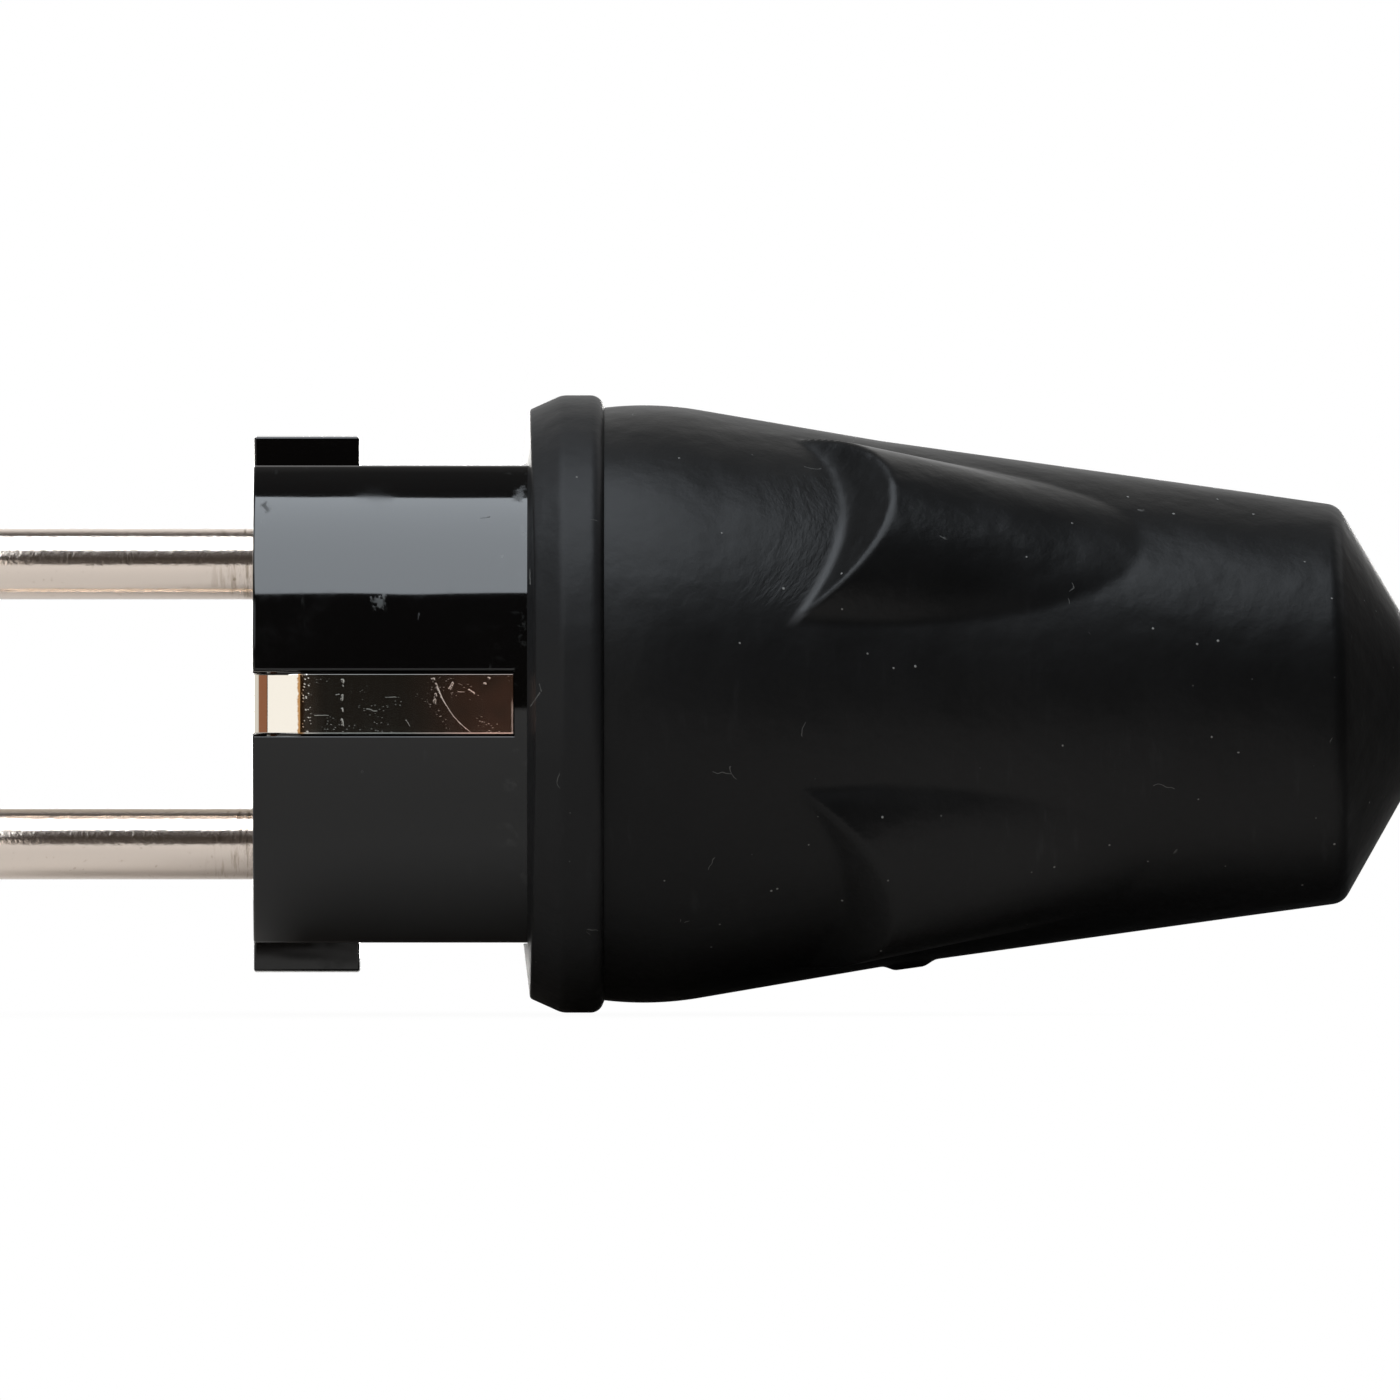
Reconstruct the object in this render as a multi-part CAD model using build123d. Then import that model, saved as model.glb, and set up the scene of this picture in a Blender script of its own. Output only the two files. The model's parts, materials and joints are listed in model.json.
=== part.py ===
from build123d import *
import os
from math import cos, hypot, radians, sin, tan

# Rubber power plug with two pins, side earth strips and an earth socket, in millimetres.
# The plug's axis is X: the pins point to -X, the cable leaves to +X, and the origin is the
# middle of the engagement face. The pins stand one above the other, and the strips are at -Y and +Y.

# Pins
PIN_PITCH = 19.0
PIN_DIAMETER = 4.8
PIN_LENGTH = 19.0
PIN_TIP_ROUND = 1.8
PIN_ROOT_DIAMETER = 5.4
COLLAR_DIAMETER = 8.0
COLLAR_LENGTH = 3.0
STUD_DIAMETER = 3.6
STUD_REACH = 3.0

# Contact carrier
CARRIER_DIAMETER = 36.8
FLAT_DEPTH = 2.24
ENGAGEMENT_DEPTH = 18.25
CARRIER_WALL = 2.0
FACE_WALL = 3.0
FACE_EDGE_ROUND = 0.3
EAR_LENGTH = 7.15
EAR_WIDTH = 1.9
EAR_ROUND = 0.5
GUIDE_NOTCH = 5.5
PIN_BOSS_WALL = 2.2
FLANGE_STEP = 0.9
FLANGE_LENGTH = 2.75
FLANGE_SETBACK = 2.2

# Earth strip and earth socket
STRIP_WIDTH = 4.15
STRIP_THICKNESS = 0.8
STRIP_RECESS = 0.25
STRIP_SETBACK = 0.65
STRIP_FACE_RUN = 0.1
STRIP_INNER_BEND = 0.5
YOKE_WIDTH = 7.0
SOCKET_OFFSET = 10.0
SOCKET_BORE = 5.0
SOCKET_DEPTH = 15.0
SOCKET_WALL = 0.6
SOCKET_GAP = 0.25
SOCKET_LIP = 1.5
SOCKET_STEM = 3.0

# Terminal plate, blocks and cable clamp
PLATE_THICKNESS = 3.0
BLOCK_WIDTH = 7.0
BLOCK_LENGTH = 10.0
BLOCK_ROUND = 0.7
WIRE_BORE = 3.2
WIRE_DEPTH = 6.0
EARTH_BLOCK_OFFSET = 6.0
ARM_WIDTH = 3.6
ARM_HEIGHT = 3.4
ARM_GAP = 0.5
ARM_SPACING = 12.4
SADDLE_SETBACK = 16.0
SADDLE_LENGTH = 8.0
CABLE_SEAT = 9.2
CLAMP_GAP = 1.6
CLAMP_HEIGHT = 5.4
CLAMP_SCREW_WALL = 1.4
CLAMP_EDGE = 0.1
CLAMP_ROUND = 1.2

# Screws
SCREW_DIAMETER = 3.0
HEAD_DIAMETER = 5.2
HEAD_HEIGHT = 2.2
HEAD_ROUND = 0.45
DRIVE_SLOT = 0.8
SLOT_DEPTH = 1.1
SCREW_POINT = 0.4
PLATE_SCREW_LENGTH = 10.0
PLATE_SCREW_GAP = 0.5
PLATE_BOSS_WALL = 1.5
TERMINAL_SCREW_LENGTH = 4.0
CLAMP_SCREW_LENGTH = 11.0

# Rubber hood: rim, barrel, taper and cable end, measured from the lip
RIM_WALL = 1.53
RIM_CHAMFER_HEIGHT = 1.0
RIM_SLANT = 0.5
RIM_CHAMFER_LENGTH = 2.3
RIM_LENGTH = 5.5
RIM_REAR_SLANT = 0.3
LIP_ROUND = 5.0
RIM_FRONT_ROUND = 0.4
RIM_CHAMFER_ROUND = 3.0
RIM_REAR_ROUND = 0.9
CLAMP_ROOM = 0.855
BARREL_CROWN = 8.15
BARREL_ARC = 22.6
FRONT_TAPER = 9.7
WAIST_SETBACK = 24.15
WAIST_ROUND = 20.0
REAR_TAPER = 7.96
SHOULDER_SETBACK = 55.43
SHOULDER_ROUND = 2.0
END_CONE = 60.0
END_DIAMETER = 12.2
END_ROUND = 0.4
HOOD_WALL = 3.2
CAVITY_LENGTH = 44.0
CABLE_BORE = 8.6
CABLE_BORE_LENGTH = 11.5

# Grip lugs: tilted half-round bodies whose front wall stops the fingers
LUG_COUNT = 4
LUG_RADIUS = 9.6
LUG_TILT = 16.4
LUG_CREST_SETBACK = 25.05
LUG_HEIGHT = 2.6
LUG_WALL_SLOPE = 30.8
LUG_FRONT_REACH = 10.0
LUG_ROOT = 0.5
LUG_CREST_ROUND = 0.4
LUG_COVE = 0.8
GATE_MARK_SETBACK = 26.2
GATE_MARK_DIAMETER = 3.4
GATE_MARK_HEIGHT = 0.37
GATE_MARK_ROUND = 0.3

# Clearances
SLIDE_FIT = 0.1
HOOD_FIT = 0.12
METAL_FIT = 0.05

# Places that follow from the sizes above
PIN_Z = PIN_PITCH / 2
CARRIER_RADIUS = CARRIER_DIAMETER / 2
FLAT_Z = CARRIER_RADIUS - FLAT_DEPTH
FLANGE_RADIUS = CARRIER_RADIUS + FLANGE_STEP
LIP_X = ENGAGEMENT_DEPTH
FLANGE_X = LIP_X + FLANGE_SETBACK
CARRIER_END_X = FLANGE_X + FLANGE_LENGTH
PLATE_X = CARRIER_END_X - PLATE_THICKNESS
COLLAR_X = PLATE_X - COLLAR_LENGTH
STRIP_Y = CARRIER_RADIUS - STRIP_RECESS
STRIP_END_X = LIP_X - STRIP_SETBACK
SOCKET_RADIUS = SOCKET_BORE / 2 + SOCKET_WALL
LEG_Y = SOCKET_OFFSET + SOCKET_RADIUS + SOCKET_GAP + STRIP_THICKNESS
STRIP_FRONT_BEND = STRIP_Y - LEG_Y - STRIP_INNER_BEND - STRIP_FACE_RUN
YOKE_X = CARRIER_END_X
EARTH_BLOCK_X = YOKE_X + STRIP_THICKNESS
SADDLE_X = CARRIER_END_X + SADDLE_SETBACK
SADDLE_END_X = SADDLE_X + SADDLE_LENGTH
SADDLE_HEIGHT = BLOCK_WIDTH / 2 + ARM_GAP + ARM_HEIGHT
PLATE_SCREW_Y = SADDLE_HEIGHT + PLATE_SCREW_GAP + HEAD_DIAMETER / 2
PLATE_SCREW_Z = (ARM_SPACING + ARM_WIDTH) / 2
CLAMP_SCREW_Z = CABLE_SEAT / 2 + CLAMP_SCREW_WALL + SCREW_DIAMETER / 2
CLAMP_HALF_WIDTH = CLAMP_SCREW_Z + HEAD_DIAMETER / 2 + CLAMP_EDGE
CLAMP_TOP_Y = -CLAMP_GAP / 2 - CLAMP_HEIGHT

# The hood's outside follows from the cable clamp inside it: its reach, some room, the wall and the tapers
RIM_RADIUS = FLANGE_RADIUS + HOOD_FIT + RIM_WALL
CLAMP_REACH = hypot(CLAMP_SCREW_Z + HEAD_DIAMETER / 2, HEAD_HEIGHT - CLAMP_TOP_Y)
WAIST_X = LIP_X + WAIST_SETBACK
WAIST_RADIUS = CLAMP_REACH + CLAMP_ROOM + HOOD_WALL + (SADDLE_END_X - WAIST_X) * tan(radians(REAR_TAPER))
BARREL_CROWN_X = LIP_X + BARREL_CROWN
BARREL_END_X = BARREL_CROWN_X + BARREL_ARC * sin(radians(FRONT_TAPER))
BARREL_END_RADIUS = WAIST_RADIUS + (WAIST_X - BARREL_END_X) * tan(radians(FRONT_TAPER))
BARREL_RADIUS = BARREL_END_RADIUS + BARREL_ARC * (1 - cos(radians(FRONT_TAPER)))
SHOULDER_X = LIP_X + SHOULDER_SETBACK
SHOULDER_RADIUS = WAIST_RADIUS - (SHOULDER_X - WAIST_X) * tan(radians(REAR_TAPER))
HOOD_END_X = SHOULDER_X + (SHOULDER_RADIUS - END_DIAMETER / 2) / tan(radians(END_CONE))
BEYOND = 5.0

os.makedirs("parts", exist_ok=True)


def save(node, shape):
    export_step(shape, f"parts/{node}.step")


def slab(x_range, y_range, z_range):
    """A block between two planes on each axis."""
    size = [high - low for low, high in (x_range, y_range, z_range)]
    middle = [(low + high) / 2 for low, high in (x_range, y_range, z_range)]
    return Pos(*middle) * Box(*size)


def rod(start_x, end_x, diameter, y=0.0, z=0.0):
    """A round bar along the plug's axis."""
    plane = Plane(origin=(start_x, y, z), z_dir=(1, 0, 0))
    return extrude(plane * Circle(diameter / 2), end_x - start_x)


def turned(*edges):
    """A solid of revolution about the plug's axis from a closed outline of x and radius."""
    return revolve(make_face(Wire(list(edges))), Axis.X)


def carrier_outline(start_x, end_x, grow):
    """The carrier's round outline with its two flats, as a prism along the axis."""
    radius = CARRIER_RADIUS + grow
    flat = FLAT_Z + grow
    bar = rod(start_x, end_x, 2 * radius)
    return bar & slab((start_x, end_x), (-radius, radius), (-flat, flat))


def slotted_screw(length):
    """A cheese-head screw: its head stands on z = 0 and its shank points down."""
    head = extrude(Circle(HEAD_DIAMETER / 2), HEAD_HEIGHT)
    head = fillet(head.edges().group_by(Axis.Z)[-1], HEAD_ROUND)
    slot_range = (HEAD_HEIGHT - SLOT_DEPTH, HEAD_HEIGHT + BEYOND)
    slot = slab((-HEAD_DIAMETER, HEAD_DIAMETER), (-DRIVE_SLOT / 2, DRIVE_SLOT / 2), slot_range)
    shank = extrude(Circle(SCREW_DIAMETER / 2), -length)
    shank = chamfer(shank.edges().group_by(Axis.Z)[0], SCREW_POINT)
    return head - slot + shank


# Pins: turned bars with a rounded tip, a thicker root from the face on, a collar that the plate traps
# and a stud for the terminal
def contact_pin(z):
    pin = rod(-PIN_LENGTH, 0, PIN_DIAMETER)
    pin = fillet(pin.edges().group_by(Axis.X)[0], PIN_TIP_ROUND)
    pin += rod(0, COLLAR_X, PIN_ROOT_DIAMETER)
    pin += rod(COLLAR_X, PLATE_X, COLLAR_DIAMETER)
    pin += rod(PLATE_X, CARRIER_END_X + STUD_REACH, STUD_DIAMETER)
    return Pos(0, 0, z) * pin


# Earth bracket: one strip, pushed through from behind and folded over the face's edge on both sides
def strip_paths(grow):
    """The strip's two surfaces on the -Y side, from its free end to the yoke, moved apart by grow."""
    front = -grow
    back = STRIP_THICKNESS + grow
    side = -STRIP_Y - grow
    floor = -STRIP_Y + STRIP_THICKNESS + grow
    axis_side = -LEG_Y + STRIP_THICKNESS + grow
    wall_side = -LEG_Y - grow
    inside = STRIP_INNER_BEND - grow
    outside = STRIP_INNER_BEND + STRIP_THICKNESS + grow
    fold = STRIP_FRONT_BEND + grow
    nose = STRIP_FRONT_BEND - STRIP_THICKNESS - grow
    outer = [(STRIP_END_X, side), (front, side), (front, axis_side), (YOKE_X, axis_side), (YOKE_X, 0)]
    inner = [(STRIP_END_X, floor), (back, floor), (back, wall_side),
             (EARTH_BLOCK_X, wall_side), (EARTH_BLOCK_X, 0)]
    return outer, [fold, outside, inside], inner, [nose, inside, outside]


def earth_bracket():
    outer, outer_bends, inner, inner_bends = strip_paths(0)
    outer_line = FilletPolyline(*outer, radius=outer_bends)
    inner_line = FilletPolyline(*inner, radius=inner_bends)
    free_end = Line(outer[0], inner[0])
    middle = Line(outer[-1], inner[-1])
    face = make_face([*outer_line.edges(), *inner_line.edges(), free_end, middle])
    leg = extrude(face, STRIP_WIDTH / 2, both=True)
    bracket = leg + mirror(leg, Plane.XZ)
    pad_y = LEG_Y - STRIP_INNER_BEND - 2 * STRIP_THICKNESS
    bracket += slab((YOKE_X, EARTH_BLOCK_X), (-pad_y, pad_y), (-YOKE_WIDTH / 2, YOKE_WIDTH / 2))
    rivet_hole = SOCKET_STEM + 2 * METAL_FIT
    bracket -= rod(YOKE_X - BEYOND, EARTH_BLOCK_X + BEYOND, rivet_hole, y=SOCKET_OFFSET)
    return bracket - rod(YOKE_X - BEYOND, EARTH_BLOCK_X + BEYOND, rivet_hole, y=-EARTH_BLOCK_OFFSET)


# Earth socket: a sleeve behind the third hole, riveted to the bracket's yoke
def earth_socket():
    sleeve = rod(SOCKET_LIP, PLATE_X, 2 * SOCKET_RADIUS)
    sleeve -= rod(SOCKET_LIP - BEYOND, SOCKET_DEPTH, SOCKET_BORE)
    sleeve += rod(PLATE_X, EARTH_BLOCK_X, SOCKET_STEM)
    sleeve += rod(EARTH_BLOCK_X, EARTH_BLOCK_X + STRIP_THICKNESS, SOCKET_STEM + 2 * STRIP_THICKNESS)
    return Pos(0, SOCKET_OFFSET, 0) * sleeve


# Contact carrier: the glossy front moulding that enters the socket outlet
def guide_ears():
    ear_outer = GUIDE_NOTCH / 2 + EAR_WIDTH
    ring = rod(0, EAR_LENGTH, CARRIER_DIAMETER)
    ear = ring & slab((0, EAR_LENGTH), (GUIDE_NOTCH / 2, ear_outer), (FLAT_Z, CARRIER_RADIUS))
    ear = fillet(ear.edges().group_by(Axis.X)[-1].group_by(Axis.Z)[-1], EAR_ROUND)
    pair = [ear, mirror(ear, Plane.XZ)]
    return pair + [mirror(each, Plane.XY) for each in pair]


def strip_groove():
    """The room for one leg of the strip: round the face's edge, along the side and through the face."""
    _, _, nose, nose_bends = strip_paths(SLIDE_FIT)
    groove_end = LIP_X + FLANGE_SETBACK / 2
    floor = nose[0][1]
    slot_wall = nose[2][1]
    slot_axis = -LEG_Y + STRIP_THICKNESS + SLIDE_FIT
    inside_x = FACE_WALL + BEYOND
    nose_line = FilletPolyline((groove_end, floor), nose[1], nose[2], (inside_x, slot_wall),
                               radius=nose_bends[:2])
    outside_y = -CARRIER_RADIUS - BEYOND
    way_round = Polyline((inside_x, slot_wall), (inside_x, slot_axis), (-BEYOND, slot_axis),
                         (-BEYOND, outside_y), (groove_end, outside_y), (groove_end, floor))
    face = make_face([*nose_line.edges(), *way_round.edges()])
    return extrude(face, STRIP_WIDTH / 2 + SLIDE_FIT, both=True)


def contact_carrier():
    shell = carrier_outline(0, FLANGE_X, 0)
    shell = fillet(shell.edges().group_by(Axis.X)[0], FACE_EDGE_ROUND)
    shell += rod(FLANGE_X, CARRIER_END_X, 2 * FLANGE_RADIUS)
    for ear in guide_ears():
        shell += ear
    hollow = carrier_outline(FACE_WALL, CARRIER_END_X + BEYOND, -CARRIER_WALL)
    shell -= hollow
    pin_bore = PIN_ROOT_DIAMETER + 2 * SLIDE_FIT
    screw_boss = SCREW_DIAMETER + 2 * PLATE_BOSS_WALL
    room = carrier_outline(0, CARRIER_END_X, -CARRIER_WALL / 2)
    for side in (1, -1):
        screw_y = -side * PLATE_SCREW_Y
        screw_z = side * PLATE_SCREW_Z
        shell += rod(FACE_WALL / 2, COLLAR_X, pin_bore + 2 * PIN_BOSS_WALL, z=side * PIN_Z) & room
        shell += rod(FACE_WALL / 2, PLATE_X, screw_boss, y=screw_y, z=screw_z) & room
    pilot_x = CARRIER_END_X - PLATE_SCREW_LENGTH - SLIDE_FIT
    pilot = SCREW_DIAMETER + 2 * METAL_FIT
    for side in (1, -1):
        shell -= rod(-BEYOND, COLLAR_X, pin_bore, z=side * PIN_Z)
        shell -= rod(COLLAR_X, PLATE_X, COLLAR_DIAMETER + 2 * SLIDE_FIT, z=side * PIN_Z)
        shell -= rod(pilot_x, PLATE_X + BEYOND, pilot, y=-side * PLATE_SCREW_Y, z=side * PLATE_SCREW_Z)
    groove = strip_groove()
    shell -= groove
    shell -= mirror(groove, Plane.XZ)
    shell -= rod(-BEYOND, FACE_WALL + BEYOND, SOCKET_BORE, y=SOCKET_OFFSET)
    sleeve_room = 2 * SOCKET_RADIUS + 2 * SLIDE_FIT
    return shell - rod(SOCKET_LIP, FACE_WALL + BEYOND, sleeve_room, y=SOCKET_OFFSET)


# Terminal plate: closes the carrier from behind and carries the saddle of the cable clamp on two arms
def terminal_plate():
    plate = carrier_outline(PLATE_X, CARRIER_END_X, -CARRIER_WALL - SLIDE_FIT)
    ahead = PLATE_X - BEYOND
    behind = CARRIER_END_X + BEYOND
    for side in (1, -1):
        plate -= rod(ahead, behind, STUD_DIAMETER + 2 * SLIDE_FIT, z=side * PIN_Z)
        hole = SCREW_DIAMETER + 2 * SLIDE_FIT
        plate -= rod(ahead, behind, hole, y=-side * PLATE_SCREW_Y, z=side * PLATE_SCREW_Z)
        bend_room = STRIP_THICKNESS + STRIP_INNER_BEND + SLIDE_FIT
        leg = sorted((side * (LEG_Y + SLIDE_FIT), side * (LEG_Y - bend_room)))
        half_width = STRIP_WIDTH / 2 + SLIDE_FIT
        plate -= slab((ahead, behind), leg, (-half_width, half_width))
    plate -= rod(ahead, behind, SOCKET_STEM + 2 * SLIDE_FIT, y=SOCKET_OFFSET)
    arm_y = (SADDLE_HEIGHT - ARM_HEIGHT, SADDLE_HEIGHT)
    for side in (1, -1):
        middle = side * ARM_SPACING / 2
        plate += slab((PLATE_X, SADDLE_X), arm_y, (middle - ARM_WIDTH / 2, middle + ARM_WIDTH / 2))
    saddle_z = (-CLAMP_HALF_WIDTH, CLAMP_HALF_WIDTH)
    saddle = slab((SADDLE_X, SADDLE_END_X), (CLAMP_GAP / 2, SADDLE_HEIGHT), saddle_z)
    saddle = fillet(saddle.edges().filter_by(Axis.X).group_by(Axis.Y)[-1], CLAMP_ROUND)
    saddle -= rod(SADDLE_X - BEYOND, SADDLE_END_X + BEYOND, CABLE_SEAT)
    screw_x = SADDLE_X + SADDLE_LENGTH / 2
    for side in (1, -1):
        place = Plane(origin=(screw_x, 0, side * CLAMP_SCREW_Z), z_dir=(0, 1, 0))
        screw_reach = CLAMP_SCREW_LENGTH + CLAMP_TOP_Y + SLIDE_FIT
        saddle -= extrude(place * Circle(SCREW_DIAMETER / 2 + METAL_FIT), screw_reach)
    return plate + saddle


def plate_screws():
    screws = []
    for side in (1, -1):
        place = Plane(origin=(CARRIER_END_X, -side * PLATE_SCREW_Y, side * PLATE_SCREW_Z), z_dir=(1, 0, 0))
        screws.append(place * slotted_screw(PLATE_SCREW_LENGTH))
    return screws


# Terminals: brass blocks with a wire bore from behind and a screw from the near side
def terminal_block(front_x, y, z):
    half = BLOCK_WIDTH / 2
    end_x = front_x + BLOCK_LENGTH
    block = slab((front_x, end_x), (y - half, y + half), (z - half, z + half))
    block = fillet(block.edges().filter_by(Axis.X), BLOCK_ROUND)
    block -= rod(end_x - WIRE_DEPTH, end_x + BEYOND, WIRE_BORE, y=y, z=z)
    place = Plane(origin=(end_x - WIRE_DEPTH / 2, y, z), z_dir=(0, -1, 0))
    return block - extrude(place * Circle(SCREW_DIAMETER / 2 + METAL_FIT), BLOCK_WIDTH)


def pin_terminal(z):
    block = terminal_block(CARRIER_END_X, 0, z)
    return block - rod(CARRIER_END_X - BEYOND, CARRIER_END_X + STUD_REACH, STUD_DIAMETER + 2 * METAL_FIT, z=z)


def earth_terminal():
    block = terminal_block(EARTH_BLOCK_X, -EARTH_BLOCK_OFFSET, 0)
    return block + rod(YOKE_X, EARTH_BLOCK_X, SOCKET_STEM, y=-EARTH_BLOCK_OFFSET)


def terminal_screws():
    """One screw a block, with its point at the middle of the wire bore."""
    screw_x = BLOCK_LENGTH - WIRE_DEPTH / 2
    seats = [(CARRIER_END_X, 0, PIN_Z), (CARRIER_END_X, 0, -PIN_Z), (EARTH_BLOCK_X, -EARTH_BLOCK_OFFSET, 0)]
    screws = []
    for front_x, y, z in seats:
        place = Plane(origin=(front_x + screw_x, y - TERMINAL_SCREW_LENGTH, z), z_dir=(0, -1, 0))
        screws.append(place * slotted_screw(TERMINAL_SCREW_LENGTH))
    return screws


# Cable clamp: a bar with a round seat, drawn down on the cable by two screws
def cable_clamp():
    bar_y = (CLAMP_TOP_Y, -CLAMP_GAP / 2)
    bar = slab((SADDLE_X, SADDLE_END_X), bar_y, (-CLAMP_HALF_WIDTH, CLAMP_HALF_WIDTH))
    bar = fillet(bar.edges().filter_by(Axis.X).group_by(Axis.Y)[0], CLAMP_ROUND)
    bar -= rod(SADDLE_X - BEYOND, SADDLE_END_X + BEYOND, CABLE_SEAT)
    screw_x = SADDLE_X + SADDLE_LENGTH / 2
    for side in (1, -1):
        place = Plane(origin=(screw_x, 0, side * CLAMP_SCREW_Z), z_dir=(0, -1, 0))
        bar -= extrude(place * Circle(SCREW_DIAMETER / 2 + SLIDE_FIT), -CLAMP_TOP_Y + BEYOND)
    return bar


def clamp_screws():
    screws = []
    for side in (1, -1):
        origin = (SADDLE_X + SADDLE_LENGTH / 2, CLAMP_TOP_Y, side * CLAMP_SCREW_Z)
        screws.append(Plane(origin=origin, z_dir=(0, -1, 0)) * slotted_screw(CLAMP_SCREW_LENGTH))
    return screws


# Rubber hood: one soft moulding that buttons over the carrier's flange
def grip_radius(x):
    """The hood's outside on its long rear taper."""
    return WAIST_RADIUS - (x - WAIST_X) * tan(radians(REAR_TAPER))


def hood_body():
    """The turned outside of the hood: rim, barrel, two tapers and the coned end."""
    step_x = LIP_X + RIM_LENGTH
    step_drop = BARREL_ARC - (BARREL_ARC ** 2 - (BARREL_CROWN_X - step_x) ** 2) ** 0.5
    step = (step_x, BARREL_RADIUS - step_drop)
    rim_front = (LIP_X + RIM_SLANT, RIM_RADIUS - RIM_CHAMFER_HEIGHT)
    rim_crown = (LIP_X + RIM_CHAMFER_LENGTH, RIM_RADIUS)
    rim_rear = (step_x - RIM_REAR_SLANT, RIM_RADIUS)
    rim = FilletPolyline((LIP_X, 0), (LIP_X, FLAT_Z), rim_front, rim_crown, rim_rear, step,
                         radius=[LIP_ROUND, RIM_FRONT_ROUND, RIM_CHAMFER_ROUND, RIM_REAR_ROUND])
    barrel_end = (BARREL_END_X, BARREL_END_RADIUS)
    barrel = ThreePointArc(step, (BARREL_CROWN_X, BARREL_RADIUS), barrel_end)
    grip = FilletPolyline(barrel_end, (WAIST_X, WAIST_RADIUS), (SHOULDER_X, SHOULDER_RADIUS),
                          (HOOD_END_X, END_DIAMETER / 2), (HOOD_END_X, 0),
                          radius=[WAIST_ROUND, SHOULDER_ROUND, END_ROUND])
    axis = Line((HOOD_END_X, 0), (LIP_X, 0))
    return turned(*rim.edges(), barrel, *grip.edges(), axis)


def hood_cavity():
    """The room inside: the groove for the flange, the terminal space and the cable bore."""
    groove_radius = FLANGE_RADIUS + HOOD_FIT
    groove_start = FLANGE_X - HOOD_FIT
    groove_end = CARRIER_END_X + HOOD_FIT
    space_end_x = LIP_X + CAVITY_LENGTH
    space_end_radius = grip_radius(space_end_x) - HOOD_WALL
    bore_radius = CABLE_BORE / 2
    bore_x = HOOD_END_X - CABLE_BORE_LENGTH
    outside_x = HOOD_END_X + BEYOND
    outline = Polyline((groove_start, 0), (groove_start, groove_radius), (groove_end, groove_radius),
                       (groove_end, BARREL_RADIUS - HOOD_WALL), (BARREL_END_X, BARREL_END_RADIUS - HOOD_WALL),
                       (WAIST_X, WAIST_RADIUS - HOOD_WALL), (space_end_x, space_end_radius),
                       (bore_x, bore_radius), (outside_x, bore_radius), (outside_x, 0), close=True)
    return turned(*outline.edges()) + carrier_outline(LIP_X - BEYOND, FLANGE_X, HOOD_FIT)


def grip_lug():
    """One lug at the top of the grip: a tilted round body under the plane of its front wall."""
    tilt = radians(LUG_TILT)
    crest_x = LIP_X + LUG_CREST_SETBACK
    crest = Vector(crest_x, 0, grip_radius(crest_x) + LUG_HEIGHT)
    rear_reach = (LUG_HEIGHT + LUG_ROOT) / (tan(tilt) - tan(radians(REAR_TAPER))) / cos(tilt)
    along = Vector(cos(tilt), 0, -sin(tilt))
    centre = crest - Vector(sin(tilt), 0, cos(tilt)) * LUG_RADIUS
    plane = Plane(origin=centre - along * LUG_FRONT_REACH, z_dir=along)
    body = extrude(plane * Circle(LUG_RADIUS), LUG_FRONT_REACH + rear_reach)
    slope = radians(LUG_WALL_SLOPE)
    wall = Plane(origin=crest, x_dir=(0, 1, 0), z_dir=(-sin(slope), 0, cos(slope)))
    return split(body, bisect_by=wall, keep=Keep.BOTTOM)


def gate_mark():
    """The low round pip that the mould's gate leaves under the grip."""
    x = LIP_X + GATE_MARK_SETBACK
    taper = radians(REAR_TAPER)
    place = Plane(origin=(x, 0, -grip_radius(x)), z_dir=(sin(taper), 0, -cos(taper)))
    root_depth = HOOD_WALL / 2
    pip = Pos(0, 0, -root_depth) * extrude(Circle(GATE_MARK_DIAMETER / 2), root_depth + GATE_MARK_HEIGHT)
    pip = fillet(pip.edges().group_by(Axis.Z)[-1], GATE_MARK_ROUND)
    return place * pip


def rubber_hood():
    body = hood_body()
    lug = grip_lug()
    lug = fillet(lug.edges().filter_by(GeomType.ELLIPSE), LUG_CREST_ROUND)
    lugs = [Rot((index + 0.5) * 360 / LUG_COUNT, 0, 0) * lug for index in range(LUG_COUNT)]
    hood = body
    for each in lugs:
        hood += each
    hood = fillet(new_edges(body, *lugs, combined=hood), LUG_COVE)
    hood += gate_mark()
    return hood - hood_cavity()


save("line_pin", contact_pin(PIN_Z))
save("neutral_pin", contact_pin(-PIN_Z))
save("earth_bracket", earth_bracket())
save("earth_socket", earth_socket())
save("contact_carrier", contact_carrier())
save("terminal_plate", terminal_plate())
save("plate_screws", Compound(plate_screws()))
save("line_terminal", pin_terminal(PIN_Z))
save("neutral_terminal", pin_terminal(-PIN_Z))
save("earth_terminal", earth_terminal())
save("terminal_screws", Compound(terminal_screws()))
save("cable_clamp", cable_clamp())
save("clamp_screws", Compound(clamp_screws()))
save("rubber_hood", rubber_hood())
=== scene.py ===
import json
from math import asin, atan2, cos, pi, radians, sin, sqrt, tan

import bmesh
import bpy
from mathutils import Matrix, Quaternion, Vector

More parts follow.
